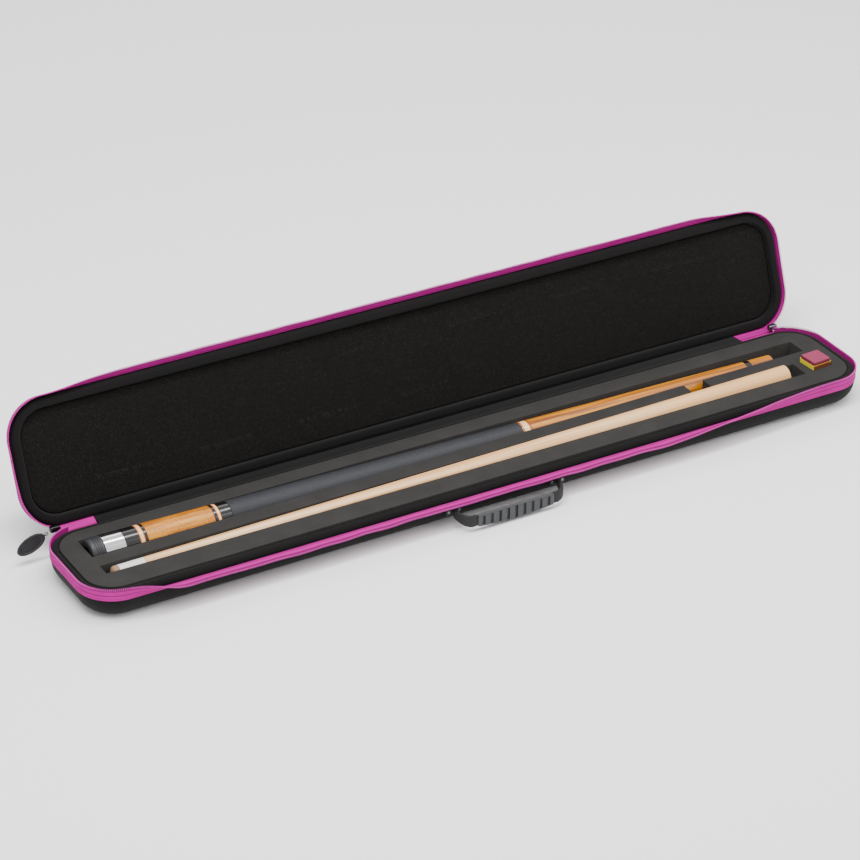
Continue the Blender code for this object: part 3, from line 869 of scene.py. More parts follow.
@dataclass
class Plan:
    """The case's rounded rectangle in plan, walked anticlockwise from the middle of its back."""

    length: float
    width: float
    radius: float = CORNER_RADIUS

    @property
    def spans(self) -> np.ndarray:
        """Lengths of the five straights and four corners in walking order."""
        half, quarter = self.length / 2 - self.radius, self.radius * math.pi / 2
        end = self.width - 2 * self.radius
        return np.array([half, quarter, end, quarter, 2 * half, quarter, end, quarter, half])

    @property
    def perimeter(self) -> float:
        """Length of the whole walk."""
        return float(self.spans.sum())

    def walk(self, distance: np.ndarray) -> tuple[np.ndarray, np.ndarray]:
        """Points and outward directions at distances along the outline.

        A straight adds its share of the heading; a corner turns the heading left by the arc
        over the radius, so its point is the corner's centre plus the radius outwards.

        Args:
            distance: Distances along the walk.

        Returns:
            Two (n, 2) arrays.
        """
        edges = np.concatenate([[0], np.cumsum(self.spans)])
        span = np.clip(np.searchsorted(edges, distance, "right") - 1, 0, 8)
        into = distance - edges[span]
        corner = span % 2 == 1
        turn = math.pi + (span // 2) * math.pi / 2 + np.where(corner, into / self.radius, 0.0)
        out = np.stack([np.sin(turn), -np.cos(turn)], 1)
        ahead = np.stack([np.cos(turn), np.sin(turn)], 1)
        half_x, half_y = self.length / 2 - self.radius, self.width / 2 - self.radius
        signs = np.array([(-1, 1), (-1, -1), (1, -1), (1, 1)])
        centre_c = signs[np.clip(span // 2, 0, 3)] * (half_x, half_y)
        starts = np.array(
            [(0, half_y), (0, 0), (-half_x, half_y), (0, 0), (-half_x, -half_y), (0, 0),
             (half_x, -half_y), (0, 0), (half_x, half_y)]
        )
        centre_s = starts[span] + ahead * into[:, None]
        centre = np.where(corner[:, None], centre_c, centre_s)
        return centre + out * self.radius, out

    def even(self, count: int) -> np.ndarray:
        """Distances of evenly spaced stations all round, the last one left out."""
        return np.linspace(0, self.perimeter, count, endpoint=False)


@dataclass
class CaseHalf:
    """One half of the case: its plan, its depths and where the hinge leaves it."""

    half: Half
    plan: Plan
    hinge: np.ndarray
    angle: float
    face: float
    edge: tuple[float, float]

    @property
    def body(self) -> str:
        """Name of the half's body."""
        return self.half.value

    def place(self, points: np.ndarray) -> np.ndarray:
        """Carry points from tray heights to where the half rests.

        The lid's heights are mirrored about the closing level and turned about the hinge by
        minus the opening angle about X.

        Args:
            points: (..., 3) points as if in the tray.

        Returns:
            The placed points.
        """
        if self.half is Half.TRAY:
            return points
        y = points[..., 1] - self.hinge[1]
        z = 2 * CLOSING_Z - points[..., 2] - self.hinge[2]
        c, s = math.cos(self.angle), math.sin(self.angle)
        turned = (points[..., 0], y * c + z * s + self.hinge[1], z * c - y * s + self.hinge[2])
        return np.stack(turned, -1)

    def sweep(self, profile: np.ndarray, count: int = 720) -> np.ndarray:
        """Carry an (inset, z) profile all round the plan.

        Args:
            profile: (m, 2) section, or (count, m, 2) where it changes on the way.
            count: Stations round the plan.

        Returns:
            A (count, m, 3) grid in tray heights.
        """
        at, out = self.plan.walk(self.plan.even(count))
        section = np.broadcast_to(profile, (count, *profile.shape[-2:]))
        flat = at[:, None] - out[:, None] * section[..., :1]
        return np.concatenate([flat, section[..., 1:]], -1)

    def lean(self, x: np.ndarray, y: np.ndarray) -> np.ndarray:
        """Outward lean of the zip tape, most along the front.

        Args:
            x: Where along the case.
            y: Where across it.

        Returns:
            Angles in radians from upright.
        """
        if self.half is Half.TRAY:
            share = np.minimum(smooth(x, -0.395, -0.325), 1 - smooth(x, 0.17, 0.385))
            return np.where(y > 0, 0.0, math.radians(97) * share)
        share = np.minimum(smooth(x, -0.40, -0.30), 1 - smooth(x, 0.31, 0.40))
        end = math.radians(15) * smooth(-x, 0.36, 0.42) * smooth(-y, -0.045, 0.0)
        return math.radians(4) + end + np.where(y > 0, 0.0, math.radians(43) * share)


@dataclass
class Casing:
    """Shells, linings, pad and foam of the case."""

    tray: CaseHalf
    lid: CaseHalf
    finishes: dict[str, bpy.types.Material]
    floor: float = 0.0022
    steps: int = 14

    def quarter(self, width: float, height: float, low: float, inward: bool) -> np.ndarray:
        """Quarter ellipse from the flat face to the wall, or back.

        Args:
            width: Its size across.
            height: Its size upwards.
            low: Height of the flat face.
            inward: True for wall to face.

        Returns:
            (n, 2) profile points of inset and height.
        """
        t = np.linspace(0, math.pi / 2, self.steps)
        curve = np.stack([width * (1 - np.sin(t)), low + height * (1 - np.cos(t))], 1)
        return curve[::-1] if inward else curve

    def shell(self, half: CaseHalf) -> bpy.types.Object:
        """Moulded shell: face, elliptical edge, wall, folded rim and the hollow inside.

        Args:
            half: The half it belongs to.

        Returns:
            The piece.
        """
        width, height = half.edge
        outer = self.quarter(width, height, half.face, False)
        outer = np.vstack([[(0.045, half.face)], [(0.030, half.face)], outer])
        rim = [(0.0, 0.0215), (0.0, RIM_Z - 0.0008), (0.0009, RIM_Z), (WALL - 0.0009, RIM_Z),
               (WALL, RIM_Z - 0.0008)]
        inner = self.quarter(width - WALL, height - WALL, half.face + self.floor, True)
        inner[:, 0] += WALL
        hollow = np.vstack([inner, [(0.030, half.face + self.floor)]])
        profile = np.vstack([outer, rim, hollow])
        profile[:, 0] = np.minimum(profile[:, 0], CORNER_RADIUS - 0.001)
        grid = half.sweep(profile, 560)
        x, y, z = grid[..., 0], grid[..., 1], grid[..., 2]
        soft = smooth(z - half.face, 0.004, 0.014) * (z < 0.021)
        grid[..., 1] += 0.00025 * ripple(x, z * 3, 5) * soft * np.sign(y)
        piece = Surface(half.place(grid), loop_rows=True, loop_columns=False)
        piece = piece.build(half.body + "_shell_cloth")
        close_ends(piece, 560, len(profile))
        turn_out(piece, 50)
        return dress(piece, self.finishes["shell_cloth"], half.body, "shell_cloth",
                     half.body + "_shell")

    def lining(self, half: CaseHalf, inner: float, crown: float) -> bpy.types.Object:
        """Padded collar round the filling, pulled away from it along the tray's front.

        The section is a closed spline; along the front its inner side moves outwards by up to
        3 mm, as a bump in X, where the cloth hangs slack.

        Args:
            half: The half it belongs to.
            inner: Inset of its inner side.
            crown: Height of its top.

        Returns:
            The piece.
        """
        knots = (
            (inner, RIM_Z - 0.0010),
            (inner, crown - 0.0022),
            (inner - 0.0010, crown - 0.0004),
            (inner - 0.0028, crown),
            (0.0036, crown - 0.0004),
            (0.0016, crown - 0.0018),
            (0.0006, RIM_Z + 0.0021),
            (0.0007, RIM_Z + 0.0006),
            (0.0022, RIM_Z + 0.0004),
            (WALL + 0.0008, RIM_Z + 0.0001),
            (WALL + 0.0006, RIM_Z - 0.0010),
        )
        profile = closed_spline(knots, 5)
        count = 720
        at, _ = half.plan.walk(half.plan.even(count))
        front = (at[:, 1] < -half.plan.width / 2 + 0.002).astype(float)
        front *= half.half is Half.TRAY
        slack = front * smooth(np.abs(at[:, 0]), 0.36, 0.05)
        section = np.repeat(profile[None], count, 0)
        share = smooth(section[..., 0], WALL, inner)
        section[..., 0] -= 0.0026 * slack[:, None] * share
        section[..., 1] -= 0.0016 * slack[:, None] * share
        wave = ripple(at[:, 0] * 1.6, at[:, 1] * 2, 11 + len(half.body))
        section[..., 1] += 0.0003 * wave[:, None] * smooth(section[..., 1], RIM_Z, crown)
        grid = half.sweep(section, count)
        piece = Surface(half.place(grid), loop_rows=True).build(half.body + "_collar")
        turn_out(piece)
        dress(piece, self.finishes["lining_cloth"], half.body, "lining_cloth",
              half.body + "_lining")
        return piece

    def pad(self) -> bpy.types.Object:
        """Lid's laminated pad: a flat panel whose edge rolls down into the groove.

        Height over inset t is top - roll*(1 - sqrt(1 - (1 - t/roll)^2)) with a roll of 4 mm, and
        low ripples over the panel.

        Returns:
            The piece.
        """
        low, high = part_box("lid_pad")
        inset = (self.lid.plan.length - (high.x - low.x)) / 2
        top, roll = 0.0250, 0.0030
        t = np.linspace(0, 1, 9)
        edge = np.stack([inset + roll * (1 - np.cos(t * math.pi / 2)),
                         top - roll + roll * np.sin(t * math.pi / 2)], 1)
        rest = np.array([(0.0155, top), (0.019, top), (0.024, top), (0.030, top), (0.0355, top)])
        foot = np.array([(0.0355, 0.0152), (inset + 0.005, 0.0152), (inset, 0.0190)])
        profile = np.vstack([foot, edge, rest])
        count = 560
        grid = self.lid.sweep(profile, count)
        x, y = grid[..., 0], grid[..., 1]
        crown = smooth(grid[..., 2], top - 0.0006, top)
        grid[..., 2] += crown * (0.00028 * ripple(x, y * 1.5, 23) - 0.0003)
        piece = Surface(self.lid.place(grid), loop_rows=True, loop_columns=False)
        piece = piece.build("lid_pad_cloth")
        close_ends(piece, count, len(profile))
        turn_out(piece)
        dress(piece, self.finishes["pad_cloth"], "lid", "pad_cloth", "lid_pad")
        return piece

    def foam(self, node: bpy.types.Object) -> bpy.types.Object:
        """Tray's cut foam: the frame's block with its cut edges eased.

        Args:
            node: The frame's foam node, which is copied.

        Returns:
            The piece.
        """
        bm = bmesh.new()
        bm.from_mesh(node.data)
        bmesh.ops.remove_doubles(bm, verts=bm.verts, dist=1e-6)
        bmesh.ops.dissolve_limit(bm, angle_limit=math.radians(1.5), verts=bm.verts,
                                 edges=bm.edges)
        mesh = bpy.data.meshes.new("foam_block")
        bm.to_mesh(mesh)
        bm.free()
        piece = link("foam_block", mesh)
        bevel = piece.modifiers.new("eased_edges", "BEVEL")
        bevel.width = 0.0007
        bevel.segments = 3
        bevel.limit_method = "ANGLE"
        bevel.angle_limit = math.radians(35)
        bevel.harden_normals = False
        apply_modifiers(piece)
        piece.data.shade_smooth()
        piece.data.set_sharp_from_angle(angle=math.radians(40))
        dress(piece, self.finishes["foam"], "tray", "foam", "tray_foam")
        return piece

    def build(self, nodes: dict[str, bpy.types.Object]) -> None:
        """Build and dress every piece of the casing."""
        self.shell(self.tray)
        self.shell(self.lid)
        self.lining(self.tray, *TRAY_COLLAR)
        self.lining(self.lid, *LID_COLLAR)
        self.pad()
        self.foam(nodes["tray_foam"])


def apply_modifiers(obj: bpy.types.Object) -> None:
    """Bake an object's modifiers into its own mesh."""
    graph = bpy.context.evaluated_depsgraph_get()
    graph.update()
    mesh = bpy.data.meshes.new_from_object(obj.evaluated_get(graph))
    obj.modifiers.clear()
    obj.data = mesh


def close_ends(obj: bpy.types.Object, count: int, columns: int) -> None:
    """Close a swept piece's open middle with one flat face on each end column's ring.

    Args:
        obj: The swept piece, a grid of count rows looped on itself.
        count: Stations round the plan.
        columns: Points in the profile.
    """
    bm = bmesh.new()
    bm.from_mesh(obj.data)
    bm.verts.ensure_lookup_table()
    for column in (0, columns - 1):
        bm.faces.new([bm.verts[row * columns + column] for row in range(count)])
    bmesh.ops.triangulate(bm, faces=[f for f in bm.faces if len(f.verts) > 4])
    bm.to_mesh(obj.data)
    bm.free()


# ---------------------------------------------------------------- zip


@dataclass
class Zip:
    """Tapes, teeth, stitches, the closed stretch behind, sliders and pulls."""

    tray: CaseHalf
    lid: CaseHalf
    finishes: dict[str, bpy.types.Material]
    start: float = math.radians(9)
    width: float = 0.0110
    thick: float = 0.0009
    tooth_pitch: float = 0.0016
    tooth_size: tuple[float, float, float] = (0.0022, 0.0010, 0.0017)
    stitch_pitch: float = 0.0042
    stitch_size: tuple[float, float, float] = (0.0029, 0.0005, 0.0004)
    wire_radius: float = 0.00042
    under: tuple[float, float] = (0.0015, 0.0080)

    def route(self, plan: Plan, count: int) -> np.ndarray:
        """Evenly spaced distances from one back corner round the front to the other."""
        first = plan.length / 2 - plan.radius + plan.radius * self.start
        return np.linspace(first, plan.perimeter - first, count)

    def fold(self, half: CaseHalf, distance: np.ndarray, reach: np.ndarray) -> tuple:
        """Lay the tape's middle line: at each reach from the seam the cloth has turned
        outwards by the lean times an ease over the first 4 mm, and the turned steps add up.

        Args:
            half: The half the tape is sewn to.
            distance: Distances along the rim.
            reach: Distances from the seam.

        Returns:
            (n, m, 3) points, outward normals of the cloth and directions up the tape.
        """
        at, out = half.plan.walk(distance)
        lean = half.lean(at[:, 0], at[:, 1])[:, None]
        sway = 1 + 0.10 * ripple(at[:, 0] * 1.5, at[:, 1], 31)[:, None]
        turn = lean * smooth(reach, -0.0005, 0.0042)[None] * sway
        step = np.diff(reach, prepend=reach[0])[None]
        outward = np.cumsum(np.sin(turn) * step, 1) + self.thick / 2 - 0.00015
        up = np.cumsum(np.cos(turn) * step, 1) + SEW_Z + reach[0]
        flat = at[:, None] + out[:, None] * outward[..., None]
        points = np.concatenate([flat, up[..., None]], -1)
        cosine, sine = np.cos(turn)[..., None], np.sin(turn)[..., None]
        normal = np.concatenate([out[:, None] * cosine, -sine], -1)
        rising = np.concatenate([out[:, None] * sine, cosine], -1)
        return points, normal, rising

    def tape(self, half: CaseHalf) -> bpy.types.Object:
        """Tape: a hem on the wall, a crease, and a rounded welt over the teeth.

        Its half thickness over reach r is that of the cloth, less 40% in the crease at 3.6 mm,
        plus a bulge of 0.35 mm centred on the welt at 7.6 mm.

        Args:
            half: The half it is sewn to.

        Returns:
            The piece.
        """
        reach = np.linspace(-0.0012, 0.0092, 27)
        distance = self.route(half.plan, 900)
        points, normal, _ = self.fold(half, distance, reach)
        crease = np.exp(-(((reach - 0.0036) / 0.0006) ** 2))
        welt = np.exp(-(((reach - 0.0076) / 0.0014) ** 2))
        half_thick = self.thick / 2 * (1 - 0.55 * crease) + 0.00032 * welt
        ease = np.sqrt(np.clip(np.minimum(reach - reach[0], reach[-1] - reach) / 0.0005, 0.04, 1))
        half_thick = (half_thick * ease)[None, :, None]
        outer, inner = points + normal * half_thick, points - normal * half_thick * 0.85
        grid = np.concatenate([outer, inner[:, ::-1]], 1)
        piece = Surface(half.place(grid), caps=True).build(half.body + "_tape_cloth")
        turn_out(piece)
        return dress(piece, self.finishes["zip_tape"], half.body, "zip_tape",
                     half.body + "_zip_tape")

    def repeat(self, half: CaseHalf, name: str, shape: tuple, frames: np.ndarray) -> object:
        """Repeat a bar at frames given in tray heights, carried to where the half rests.

        Args:
            half: The half that carries them.
            name: Name of the piece.
            shape: The bar's points and quads.
            frames: (n, 4, 3) arrays of three axes and an origin.

        Returns:
            The piece.
        """
        placed = frames.copy()
        placed[:, 3] = half.place(frames[:, 3])
        for axis in range(3):
            placed[:, axis] = half.place(frames[:, 3] + frames[:, axis]) - placed[:, 3]
        return turn_out(scatter(name, *shape, placed))

    def teeth(self, half: CaseHalf) -> bpy.types.Object:
        """Coil teeth: short bars across the tape's free edge, one each pitch.

        Args:
            half: The half they belong to.

        Returns:
            The piece.
        """
        count = int((half.plan.perimeter - half.plan.length) / self.tooth_pitch)
        distance = self.route(half.plan, count)
        points, normal, rising = self.fold(half, distance, np.linspace(-0.0012, 0.0100, 15))
        _, out = half.plan.walk(distance)
        ahead = np.stack([-out[:, 1], out[:, 0], 0 * out[:, 0]], 1)
        shape = bar_shape(*self.tooth_size)
        frames = np.stack([rising[:, -1], ahead, normal[:, -1], points[:, -1]], 1)
        frames[:, 3] += frames[:, 0] * 0.0001
        piece = self.repeat(half, half.body + "_teeth", shape, frames)
        return dress(piece, self.finishes["zip_teeth"], half.body, "zip_coil",
                     half.body + "_zip_coil")

    def stitches(self, half: CaseHalf) -> bpy.types.Object:
        """Row of stitches through the tape's hem.

        Args:
            half: The half they hold.

        Returns:
            The piece.
        """
        count = int((half.plan.perimeter - half.plan.length) / self.stitch_pitch)
        distance = self.route(half.plan, count)[1:-1]
        points, normal, rising = self.fold(half, distance, np.linspace(-0.0012, 0.0008, 5))
        _, out = half.plan.walk(distance)
        ahead = np.stack([-out[:, 1], out[:, 0], 0 * out[:, 0]], 1)
        spot = points[:, -1] + normal[:, -1] * (self.thick / 2 + 0.00002)
        shape = bar_shape(*self.stitch_size)
        frames = np.stack([ahead, rising[:, -1], normal[:, -1], spot], 1)
        piece = self.repeat(half, half.body + "_stitches", shape, frames)
        return dress(piece, self.finishes["stitch"], half.body, "zip_tape")

    def back_line(self, bow: float) -> np.ndarray:
        """Middle line of the cloth behind, from the tray's seam to the lid's.

        Args:
            bow: How far its middle is raised or lowered.

        Returns:
            (n, 2) points of y and z.
        """
        wall = self.tray.plan.width / 2
        knots = [(0.0004, 0.0226), (0.0006, 0.0240), (0.0022, 0.0256 + bow * 0.4),
                 (0.0060, 0.0266 + bow), (0.0108, 0.0259 + bow), (0.0162, 0.0239 + bow * 0.4),
                 (0.0211, 0.0220), (0.0254, 0.0204)]
        return open_spline([(wall + y, z) for y, z in knots], 8)

    def back_sheet(self, name: str, low: float, high: float, thick: float, columns: int) -> tuple:
        """Sheet that joins the halves behind: the back line carried along X.

        Its middle hangs 7 mm at the left corner and 2.5 mm at the right one, changing evenly
        between them.

        Args:
            name: Name of the piece.
            low: Lowest X.
            high: Highest X.
            thick: Its thickness.
            columns: Stations along X.

        Returns:
            The piece and the mean length of its line.
        """
        x = np.linspace(low, high, columns)
        share = np.interp(x, [-0.36, 0.36], [0.0070, 0.0025])[:, None, None]
        flat, hung = self.back_line(0.0), self.back_line(-1.0)
        line = flat + (hung - flat) * share
        run = np.gradient(line, axis=1)
        run /= np.linalg.norm(run, axis=2)[..., None]
        off = np.stack([-run[..., 1], run[..., 0]], -1) * thick / 2
        loop = np.concatenate([line + off, (line - off)[:, ::-1]], 1)
        grid = np.empty((columns, loop.shape[1], 3))
        grid[..., 0] = x[:, None]
        grid[..., 1:] = loop
        grid[..., 2] += 0.0002 * ripple(grid[..., 0] * 2, grid[..., 1], 41)
        piece = Surface(grid, caps=True).build(name)
        turn_out(piece, 60)
        length = float(np.linalg.norm(np.diff(line, axis=1), axis=2).sum(1).mean())
        return piece, length

    def join(self, piece: bpy.types.Object, finish: str, node: str) -> bpy.types.Object:
        """Dress a piece that joins the tray and the lid, attached to neither half's body."""
        piece.data.materials.append(self.finishes[finish])
        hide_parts(node)
        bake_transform(piece)
        LOG.info("%s bends between the halves", piece.name)
        return piece

    def behind(self) -> None:
        """Hinge cloth and the two lengths of closed zip behind the back corners."""
        low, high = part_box("hinge_strip")
        cloth, length = self.back_sheet("hinge_cloth", low.x, high.x, 0.0009, 160)
        self.join(cloth, "shell_cloth", "hinge_strip")
        for side in Side:
            node = "zip_chain_" + side.word
            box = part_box(node)
            inner = min(abs(corner.x) for corner in box) * side.value
            spare = self.under[side is Side.RIGHT]
            outer = (max(abs(corner.x) for corner in box) + spare) * side.value
            low, high = min(inner, outer), max(inner, outer)
            piece, _ = self.back_sheet("closed_zip_" + side.word, low, high, 0.0012, 24)
            self.join(piece, "zip_tape", node)

    def slider(self, side: Side) -> bpy.types.Object:
        """Slider body: a superellipsoid, waisted along X, with a bridge over its top.

        Args:
            side: Which back corner it is at.

        Returns:
            The piece.
        """
        node = "slider_" + side.word
        low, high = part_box(node)
        middle, size = np.array((low + high) / 2), np.array(high - low) / 2
        v = np.linspace(-math.pi / 2, math.pi / 2, 25)[:, None]
        u = np.linspace(0, math.tau, 48, endpoint=False)[None]

        x = power(np.sin(v), 0.45) * np.ones_like(u)
        y = power(np.cos(v), 0.45) * power(np.cos(u), 0.5)
        z = power(np.cos(v), 0.45) * power(np.sin(u), 0.5)
        waist = 1 - 0.22 * np.exp(-((x / 0.45) ** 2)) * (z < 0)
        grid = np.stack([x * size[0], y * size[1] * waist, z * size[2]], -1) + middle
        piece = Surface(grid[1:-1], caps=True).build("slider_body_" + side.word, uv=False)
        turn_out(piece)
        finish = "gunmetal" if side is Side.RIGHT else "dark_metal"
        return dress(piece, self.finishes[finish], side.word + "_slider", "slider_metal", node)

    def pull(self, side: Side) -> bpy.types.Object:
        """Rubber pull: an oval lens with a raised rim, laid on the frame's own oval.

        The half thickness over radius share r is full on the rim from 0.80 to 0.94, 60% inside
        it, and falls as a quarter circle past it.

        Args:
            side: Which back corner it hangs at.

        Returns:
            The piece.
        """
        node = "puller_" + side.word
        middle, axes, size = principal(node)
        share = np.concatenate([np.linspace(0.04, 0.74, 8), np.linspace(0.78, 1.0, 12)])
        inside = 0.58 + 0.42 * smooth(share, 0.74, 0.82)
        outside = np.sqrt(np.clip(1 - (np.clip(share - 0.9, 0, 1) / 0.1) ** 2, 0, 1))
        height = size[2] * inside * outside
        turns = np.linspace(0, math.tau, 72, endpoint=False)[None]
        across = share[:, None] * np.cos(turns) * size[0], share[:, None] * np.sin(turns) * size[1]
        ribs = 1 + 0.35 * (np.sin(across[0] * math.tau / 0.0026) > 0.3) * (share[:, None] < 0.7)
        front = np.stack([*across, height[:, None] * ribs], -1)
        back = np.stack([*across, -height[:, None] * np.ones_like(ribs)], -1)[::-1]
        grid = np.concatenate([front, back[1:]], 0) @ axes + middle
        piece = Surface(grid, caps=True).build("pull_" + side.word, uv=False)
        turn_out(piece, 50)
        body = side.word + "_pull"
        return dress(piece, self.finishes["pull_rubber"], body, "puller_rubber", node)

    def wire(self, side: Side) -> bpy.types.Object:
        """Wire link: a rounded oval of 0.9 mm wire where the frame's link is.

        Args:
            side: Which pull it carries.

        Returns:
            The piece.
        """
        node = "puller_" + side.word + "_link"
        middle, axes, size = principal(node)
        turns = np.linspace(0, math.tau, 48, endpoint=False)
        ring = np.stack([np.cos(turns) * (size[0] - 0.0002), np.sin(turns) * size[1] * 0.75], 1)
        out = np.stack([np.cos(turns), np.sin(turns)], 1)
        around = np.linspace(0, math.tau, 12, endpoint=False)
        radius = self.wire_radius
        flat = ring[:, None] + out[:, None] * (np.cos(around) * radius)[None, :, None]
        rise = np.broadcast_to(np.sin(around) * radius, flat.shape[:2])[..., None]
        grid = np.concatenate([flat, rise], -1) @ axes + middle
        piece = Surface(grid, loop_rows=True).build("wire_" + side.word, uv=False)
        turn_out(piece)
        return dress(piece, self.finishes["dark_metal"], side.word + "_pull", "slider_metal", node)

    def build(self) -> None:
        """Build and dress the whole zip."""
        for half in (self.tray, self.lid):
            self.tape(half)
            self.teeth(half)
            self.stitches(half)
        self.behind()
        for side in Side:
            self.slider(side)
            self.pull(side)
            self.wire(side)


def principal(name: str) -> tuple[np.ndarray, np.ndarray, np.ndarray]:
    """Middle, main axes (rows) and half sizes of a frame node.

    Args:
        name: Name of the node.

    Returns:
        The three arrays.
    """
    points = node_points(name)
    middle = points.mean(0)
    _, _, axes = np.linalg.svd(points - middle, full_matrices=False)
    return middle, axes, np.abs((points - middle) @ axes.T).max(0)


def node_points(name: str) -> np.ndarray:
    """Vertices of a frame node as an (n, 3) array, doubles merged."""
    mesh = bpy.data.objects[name].data
    flat = np.empty(len(mesh.vertices) * 3, np.float32)
    mesh.vertices.foreach_get("co", flat)
    return np.unique(np.round(flat.reshape(-1, 3).astype(float), 6), axis=0)


# ---------------------------------------------------------------- handle


@dataclass
class Handle:
    """Ribbed grip, its two tapering end pieces and what holds them to the wall."""

    finishes: dict[str, bpy.types.Material]
    slots: int = 9
    pitch: float = 0.0088
    slot_half: float = 0.00135
    slot_depth: float = 0.0016
    end_half: float = 0.0019

    def grip(self) -> bpy.types.Object:
        """Grip: a superellipse section along X, bowed below, with nine slots in its front.

        A slot's share is the product of an ease across X and one over the height; the front
        side moves in by the slot's depth times it.

        Returns:
            The piece.
        """
        low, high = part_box("handle_grip")
        x = np.linspace(low.x, high.x, 420)[:, None]
        bow = 1 - (x / high.x) ** 2
        bottom = low.z + 0.0027 * (1 - bow)
        middle, half = (high.z + bottom) / 2, (high.z - bottom) / 2
        turns = np.linspace(0, math.tau, 72, endpoint=False)[None]
        y, z = box_section(turns, 0.42)
        nearest = np.clip(np.round(x / self.pitch), -(self.slots // 2), self.slots // 2)
        off = np.abs(x - nearest * self.pitch)
        across = smooth(off, self.slot_half + 0.0003, self.slot_half - 0.0003)
        reach = 0.80 - 0.16 * np.abs(nearest) / (self.slots // 2)
        tall = smooth(np.abs(z), reach + 0.07, reach - 0.03)
        cut = across * tall * (y < -0.5)
        ends = np.sqrt(np.clip(1 - (np.clip(np.abs(x) - high.x + 0.002, 0, 1) / 0.0021) ** 2, 0, 1))
        centre_y, half_y = (low.y + high.y) / 2, (high.y - low.y) / 2
        swell = 0.75 + 0.25 * ends
        slim = 0.0044 * (y > 0) * smooth(z, -1.0, 1.0)
        grid = np.stack([
            np.broadcast_to(x, cut.shape),
            centre_y + y * half_y * swell + cut * self.slot_depth - slim * np.abs(y),
            middle + z * half * swell,
        ], -1)
        # the recess value marks the slots, where the rubber finish paints shade
        piece = Surface(grid, caps=True, values={"recess": smooth(cut, 0.25, 0.75)}).build("grip")
        turn_out(piece, 65)
        return dress(piece, self.finishes["grip_rubber"], "handle", "handle_rubber", "handle_grip")

    def end(self, side: Side) -> bpy.types.Object:
        """End piece: a rounded section carried along a spline from the anchor to the grip.

        Args:
            side: Which end.

        Returns:
            The piece.
        """
        node = "handle_end_" + side.word
        low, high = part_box(node)
        near, far = (high.x, low.x) if side is Side.RIGHT else (low.x, high.x)
        inner = far - side.value * 0.0001
        y_wall, y_grip = high.y, (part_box("handle_grip")[0].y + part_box("handle_grip")[1].y) / 2
        outer = near - side.value * 0.0020
        stations = (
            (outer, y_wall - 0.0002, 0.0009, 0.0155),
            (outer, y_wall - 0.0014, 0.0032, 0.0155),
            (outer, y_wall - 0.0050, 0.0046, 0.0138),
            (outer - side.value * 0.0035, y_grip + 0.0035, 0.0056, 0.0122),
            (outer - side.value * 0.0085, y_grip + 0.0004, 0.0060, 0.0111),
            (inner + side.value * 0.0004, y_grip, 0.0059, 0.0109),
        )
        line = open_spline(stations, 9)
        run = np.gradient(line[:, :2], axis=0)
        run /= np.linalg.norm(run, axis=1)[:, None]
        off = np.stack([-run[:, 1], run[:, 0]], 1)
        turns = np.linspace(0, math.tau, 32, endpoint=False)[None]
        across, rise = box_section(turns, 0.55)
        across, rise = across * self.end_half, rise * line[:, 2:3]
        grid = np.empty((len(line), 32, 3))
        grid[..., :2] = line[:, None, :2] + off[:, None] * across[..., None]
        grid[..., 2] = line[:, 3:4] + rise
        piece = Surface(grid, caps=True).build("grip_end_" + side.word)
        turn_out(piece, 60)
        return dress(piece, self.finishes["strap_rubber"], "handle", "strap_rubber", node)

    def build(self, nodes: dict[str, bpy.types.Object]) -> None:
        """Build the moving pieces and finish the anchors and rivets, which stay."""
        self.grip()
        for side in Side:
            self.end(side)
            refinish(nodes["handle_anchor_" + side.word], self.finishes["strap_rubber"])
        for number in range(1, 5):
            refinish(nodes[f"handle_rivet_{number}"], self.finishes["gunmetal"])


def refinish(node: bpy.types.Object, material: bpy.types.Material) -> None:
    """Give a frame node that stays a better finish."""
    node.data.materials.clear()
    node.data.materials.append(material)


# ---------------------------------------------------------------- the cue


@dataclass
class CueAxis:
    """Straight axis of a turned stack: a point and a direction along +X."""

    origin: np.ndarray
    ahead: np.ndarray

    @classmethod
    def through(cls, first: str, last: str) -> "CueAxis":
        """Axis through the first node's near end face and the last node's far end face."""
        near, far = node_points(first), node_points(last)
        start = near[near[:, 0] < near[:, 0].min() + 0.0015].mean(0)
        end = far[far[:, 0] > far[:, 0].max() - 0.0015].mean(0)
        ahead = end - start
        return cls(start, ahead / np.linalg.norm(ahead))

    def stations(self, node: str) -> np.ndarray:
        """Distances along the axis and radii of a node's two ends, (2, 2)."""
        rel = node_points(node) - self.origin
        along = rel @ self.ahead
        radius = np.linalg.norm(rel - along[:, None] * self.ahead, axis=1)
        middle = (along.min() + along.max()) / 2
        ends = [(along.min(), radius[along < middle].max()),
                (along.max(), radius[along >= middle].max())]
        return np.array(ends)

    def turn(self, profile: np.ndarray, name: str, sharp: float = 35) -> bpy.types.Object:
        """Turn a profile of (along, radius) about the axis.

        A point is origin + along*ahead + radius*(side*cos a + top*sin a).

        Args:
            profile: (n, 2) stations.
            name: Name of the piece.
            sharp: Angle past which an edge is sharp.

        Returns:
            The piece.
        """
        side = np.array([0.0, 1.0, 0.0])
        top = np.cross(self.ahead, side)
        turns = np.linspace(0, math.tau, ROUND_STEPS, endpoint=False)
        ring = side * np.cos(turns)[:, None] + top * np.sin(turns)[:, None]
        along = self.origin + profile[:, :1] * self.ahead
        grid = along[:, None] + profile[:, 1][:, None, None] * ring[None]
        piece = Surface(grid, caps=True).build(name)
        return turn_out(piece, sharp)


